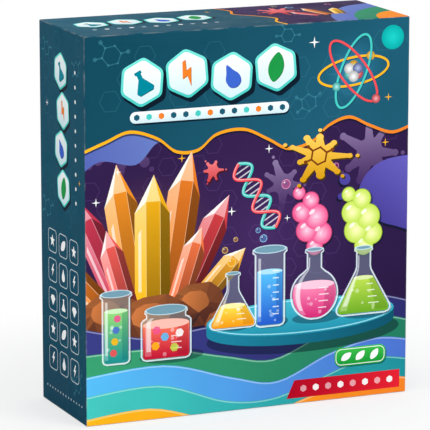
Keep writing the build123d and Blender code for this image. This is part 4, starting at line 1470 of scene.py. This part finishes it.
# %% [markdown]
# ## Marks and staples
# Tubes, beaker and dropper carry printed volume marks, all made by one Geometry Nodes
# tree: a row of points along the axis, a curved bar on each, and a longer bar at every fifth.
# Points between two heights are left out, because the rack covers them there. The booklet's
# wire staples come from a second, smaller tree. The result is kept as a plain mesh.

# %% Geometry Nodes trees: volume marks and staples


def up_row(tree, ins):
    """Points that rise from the origin, a spacing apart."""
    rise = add(tree, "ShaderNodeCombineXYZ", Z=ins["Spacing"]).outputs[0]
    return add(tree, "GeometryNodeMeshLine", Count=ins["Count"], Offset=rise).outputs[0]


def sweep(tree, path, profile):
    """A closed bar with this profile along a path."""
    values = {"Curve": path, "Profile_Curve": profile, "Fill_Caps": True}
    return add(tree, "GeometryNodeCurveToMesh", **values).outputs[0]


def finish_shape(tree, geometry, ins, outs):
    """The last steps of both trees: a real mesh with its material."""
    solid = add(tree, "GeometryNodeRealizeInstances", Geometry=geometry).outputs[0]
    dressed = add(tree, "GeometryNodeSetMaterial", Geometry=solid, Material=ins["Material"]).outputs[0]
    feed(tree, outs, Geometry=dressed)


def build_marks_tree():
    tree, ins, outs = new_group(
        "GeometryNodeTree", "volume_marks",
        {
            "Count": ("Int", 10), "Spacing": ("Float", 0.005), "Radius": ("Float", 0.008),
            "Line Width": ("Float", 0.0005), "Thickness": ("Float", 0.0001), "Short Turn": ("Float", 0.6),
            "Long Turn": ("Float", 1.1), "Skip From": ("Float", 1.0), "Skip To": ("Float", 1.0),
            "Material": ("Material", None),
        },
        {"Geometry": "Geometry"},
    )
    row = up_row(tree, ins)
    height = apart(tree, add(tree, "GeometryNodeInputPosition").outputs[0])["Z"]
    past_first = maths(tree, "GREATER_THAN", height, ins["Skip From"])
    hidden = maths(tree, "MULTIPLY", past_first, maths(tree, "LESS_THAN", height, ins["Skip To"]))
    row = add(
        tree, "GeometryNodeDeleteGeometry", {"domain": "POINT"}, Geometry=row, Selection=hidden
    ).outputs[0]
    place = maths(tree, "ADD", maths(tree, "DIVIDE", height, ins["Spacing"]), 0.5)
    fifth = maths(tree, "LESS_THAN", maths(tree, "MODULO", place, 5.0), 1.0)
    other = maths(tree, "SUBTRACT", 1.0, fifth)
    profile = add(
        tree, "GeometryNodeCurvePrimitiveQuadrilateral", Width=ins["Thickness"], Height=ins["Line Width"]
    ).outputs[0]
    joined = add(tree, "GeometryNodeJoinGeometry")
    bars = []
    for chosen, turn in ((fifth, ins["Long Turn"]), (other, ins["Short Turn"])):
        start = maths(tree, "SUBTRACT", -math.pi / 2, maths(tree, "MULTIPLY", turn, 0.5))
        arc = add(
            tree, "GeometryNodeCurveArc", {"mode": "RADIUS"},
            Resolution=16, Radius=ins["Radius"], Start_Angle=start, Sweep_Angle=turn,
        ).outputs[0]
        upright = add(tree, "GeometryNodeSetCurveNormal", {"mode": "Z_UP"}, Curve=arc).outputs[0]
        bar = sweep(tree, upright, profile)
        placed = add(tree, "GeometryNodeInstanceOnPoints", Points=row, Selection=chosen, Instance=bar)
        bars.append(placed.outputs[0])
    for bar in bars:
        tree.links.new(bar, joined.inputs[0])
    finish_shape(tree, joined.outputs[0], ins, outs)
    return tree


def build_staples_tree():
    tree, ins, outs = new_group(
        "GeometryNodeTree", "wire_staples",
        {
            "Count": ("Int", 2), "Spacing": ("Float", 0.1), "Length": ("Float", 0.012),
            "Wire Radius": ("Float", 0.0003), "Material": ("Material", None),
        },
        {"Geometry": "Geometry"},
    )
    row = up_row(tree, ins)
    half = maths(tree, "MULTIPLY", ins["Length"], 0.5)
    foot = add(tree, "ShaderNodeCombineXYZ", Z=maths(tree, "SUBTRACT", 0.0, half)).outputs[0]
    head = add(tree, "ShaderNodeCombineXYZ", Z=half).outputs[0]
    wire = add(tree, "GeometryNodeCurvePrimitiveLine", Start=foot, End=head).outputs[0]
    profile = add(tree, "GeometryNodeCurvePrimitiveCircle", Resolution=12, Radius=ins["Wire Radius"]).outputs[0]
    staple = sweep(tree, wire, profile)
    placed = add(tree, "GeometryNodeInstanceOnPoints", Points=row, Instance=staple).outputs[0]
    finish_shape(tree, placed, ins, outs)
    return tree


volume_marks = build_marks_tree()
wire_staples = build_staples_tree()


def grow(tree, **values):
    """The mesh that a Geometry Nodes tree makes with these inputs."""
    holder = add_object("holder", bpy.data.meshes.new("holder"))
    modifier = holder.modifiers.new("shape", "NODES")
    modifier.node_group = tree
    names = {socket.name: socket.identifier for socket in tree.interface.items_tree if socket.in_out == "INPUT"}
    for label, value in values.items():
        modifier[names[label.replace("_", " ")]] = value
    graph = bpy.context.evaluated_depsgraph_get()
    mesh = bpy.data.meshes.new_from_object(holder.evaluated_get(graph))
    bpy.data.objects.remove(holder)
    return mesh


def join_meshes(name, meshes, material):
    """One piece from several meshes that are already in place."""
    whole = bmesh.new()
    for mesh in meshes:
        whole.from_mesh(mesh)
    result = bpy.data.meshes.new(name)
    whole.to_mesh(result)
    whole.free()
    result.materials.clear()
    result.materials.append(material)
    return add_object(name, result)


print("shape trees", volume_marks.name, "and", wire_staples.name)

# %% Volume marks on the clear pieces
mark_ink = make_finish("mark_ink", (22, 66, 150), (16, 56, 132), 40, (0.4, 0.55), 0.02)
staple_wire = make_finish("staple_wire", (196, 198, 202), (170, 172, 178), 60, (0.2, 0.35), 0.02, Metallic=1.0)


def marks_on(node_name, radius, first, count, spacing, short, long, skip=(1.0, 1.0), along="Z"):
    """Marks on a round wall, with bars of these lengths in metres."""
    low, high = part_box(node_name)
    middle = [(a + b) / 2 for a, b in zip(low, high)]
    mesh = grow(
        volume_marks, Count=count, Spacing=spacing, Radius=radius, Short_Turn=short / radius,
        Long_Turn=long / radius, Skip_From=skip[0], Skip_To=skip[1], Material=mark_ink,
    )
    if along == "Z":
        place = Matrix.Translation((middle[0], middle[1], low[2] + first))
    else:
        lying = Matrix.Rotation(math.pi / 2, 4, "X")
        place = Matrix.Translation((middle[0], high[1] - first, low[2] + radius)) @ lying
    mesh.transform(place)
    return mesh


_, rack_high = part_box("test_tube_rack")
tube_low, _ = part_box("test_tube_1")
first_mark = 0.012
plate_low, plate_high = -0.0075, 0.0015  # the heights, from the top of the rack, that hide the marks
covered = [rack_high[2] + edge - tube_low[2] - first_mark for edge in (plate_low, plate_high)]
# Radius, height of the first mark, how many, how far apart, short bar and long bar
mark_meshes = [
    *(marks_on(f"test_tube_{n}", 0.008, first_mark, 15, 0.005, 0.0045, 0.0075, covered) for n in four),
    marks_on("dropper_tube", 0.0035, 0.024, 9, 0.004, 0.0022, 0.0036),
    marks_on("beaker", 0.025, 0.012, 9, 0.005, 0.008, 0.014, along="Y"),
]
marks = join_meshes("volume_marks", mark_meshes, mark_ink)
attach(marks, "tray_and_kit")
print("marks", len(mark_meshes), "sets,", len(marks.data.polygons), "faces")

# %% Staples of the booklet
staple_gap = 0.12
staple_inset = 0.0001
staple_mesh = grow(wire_staples, Count=2, Spacing=staple_gap, Material=staple_wire)
staple_mesh.transform(Matrix.Translation((
    book_low[0] + staple_inset, (book_low[1] + book_high[1]) / 2, (book_low[2] + book_high[2] - staple_gap) / 2
)))
staples = join_meshes("staples", [staple_mesh], staple_wire)
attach(staples, "booklet")
print("staples", len(staples.data.polygons), "faces")
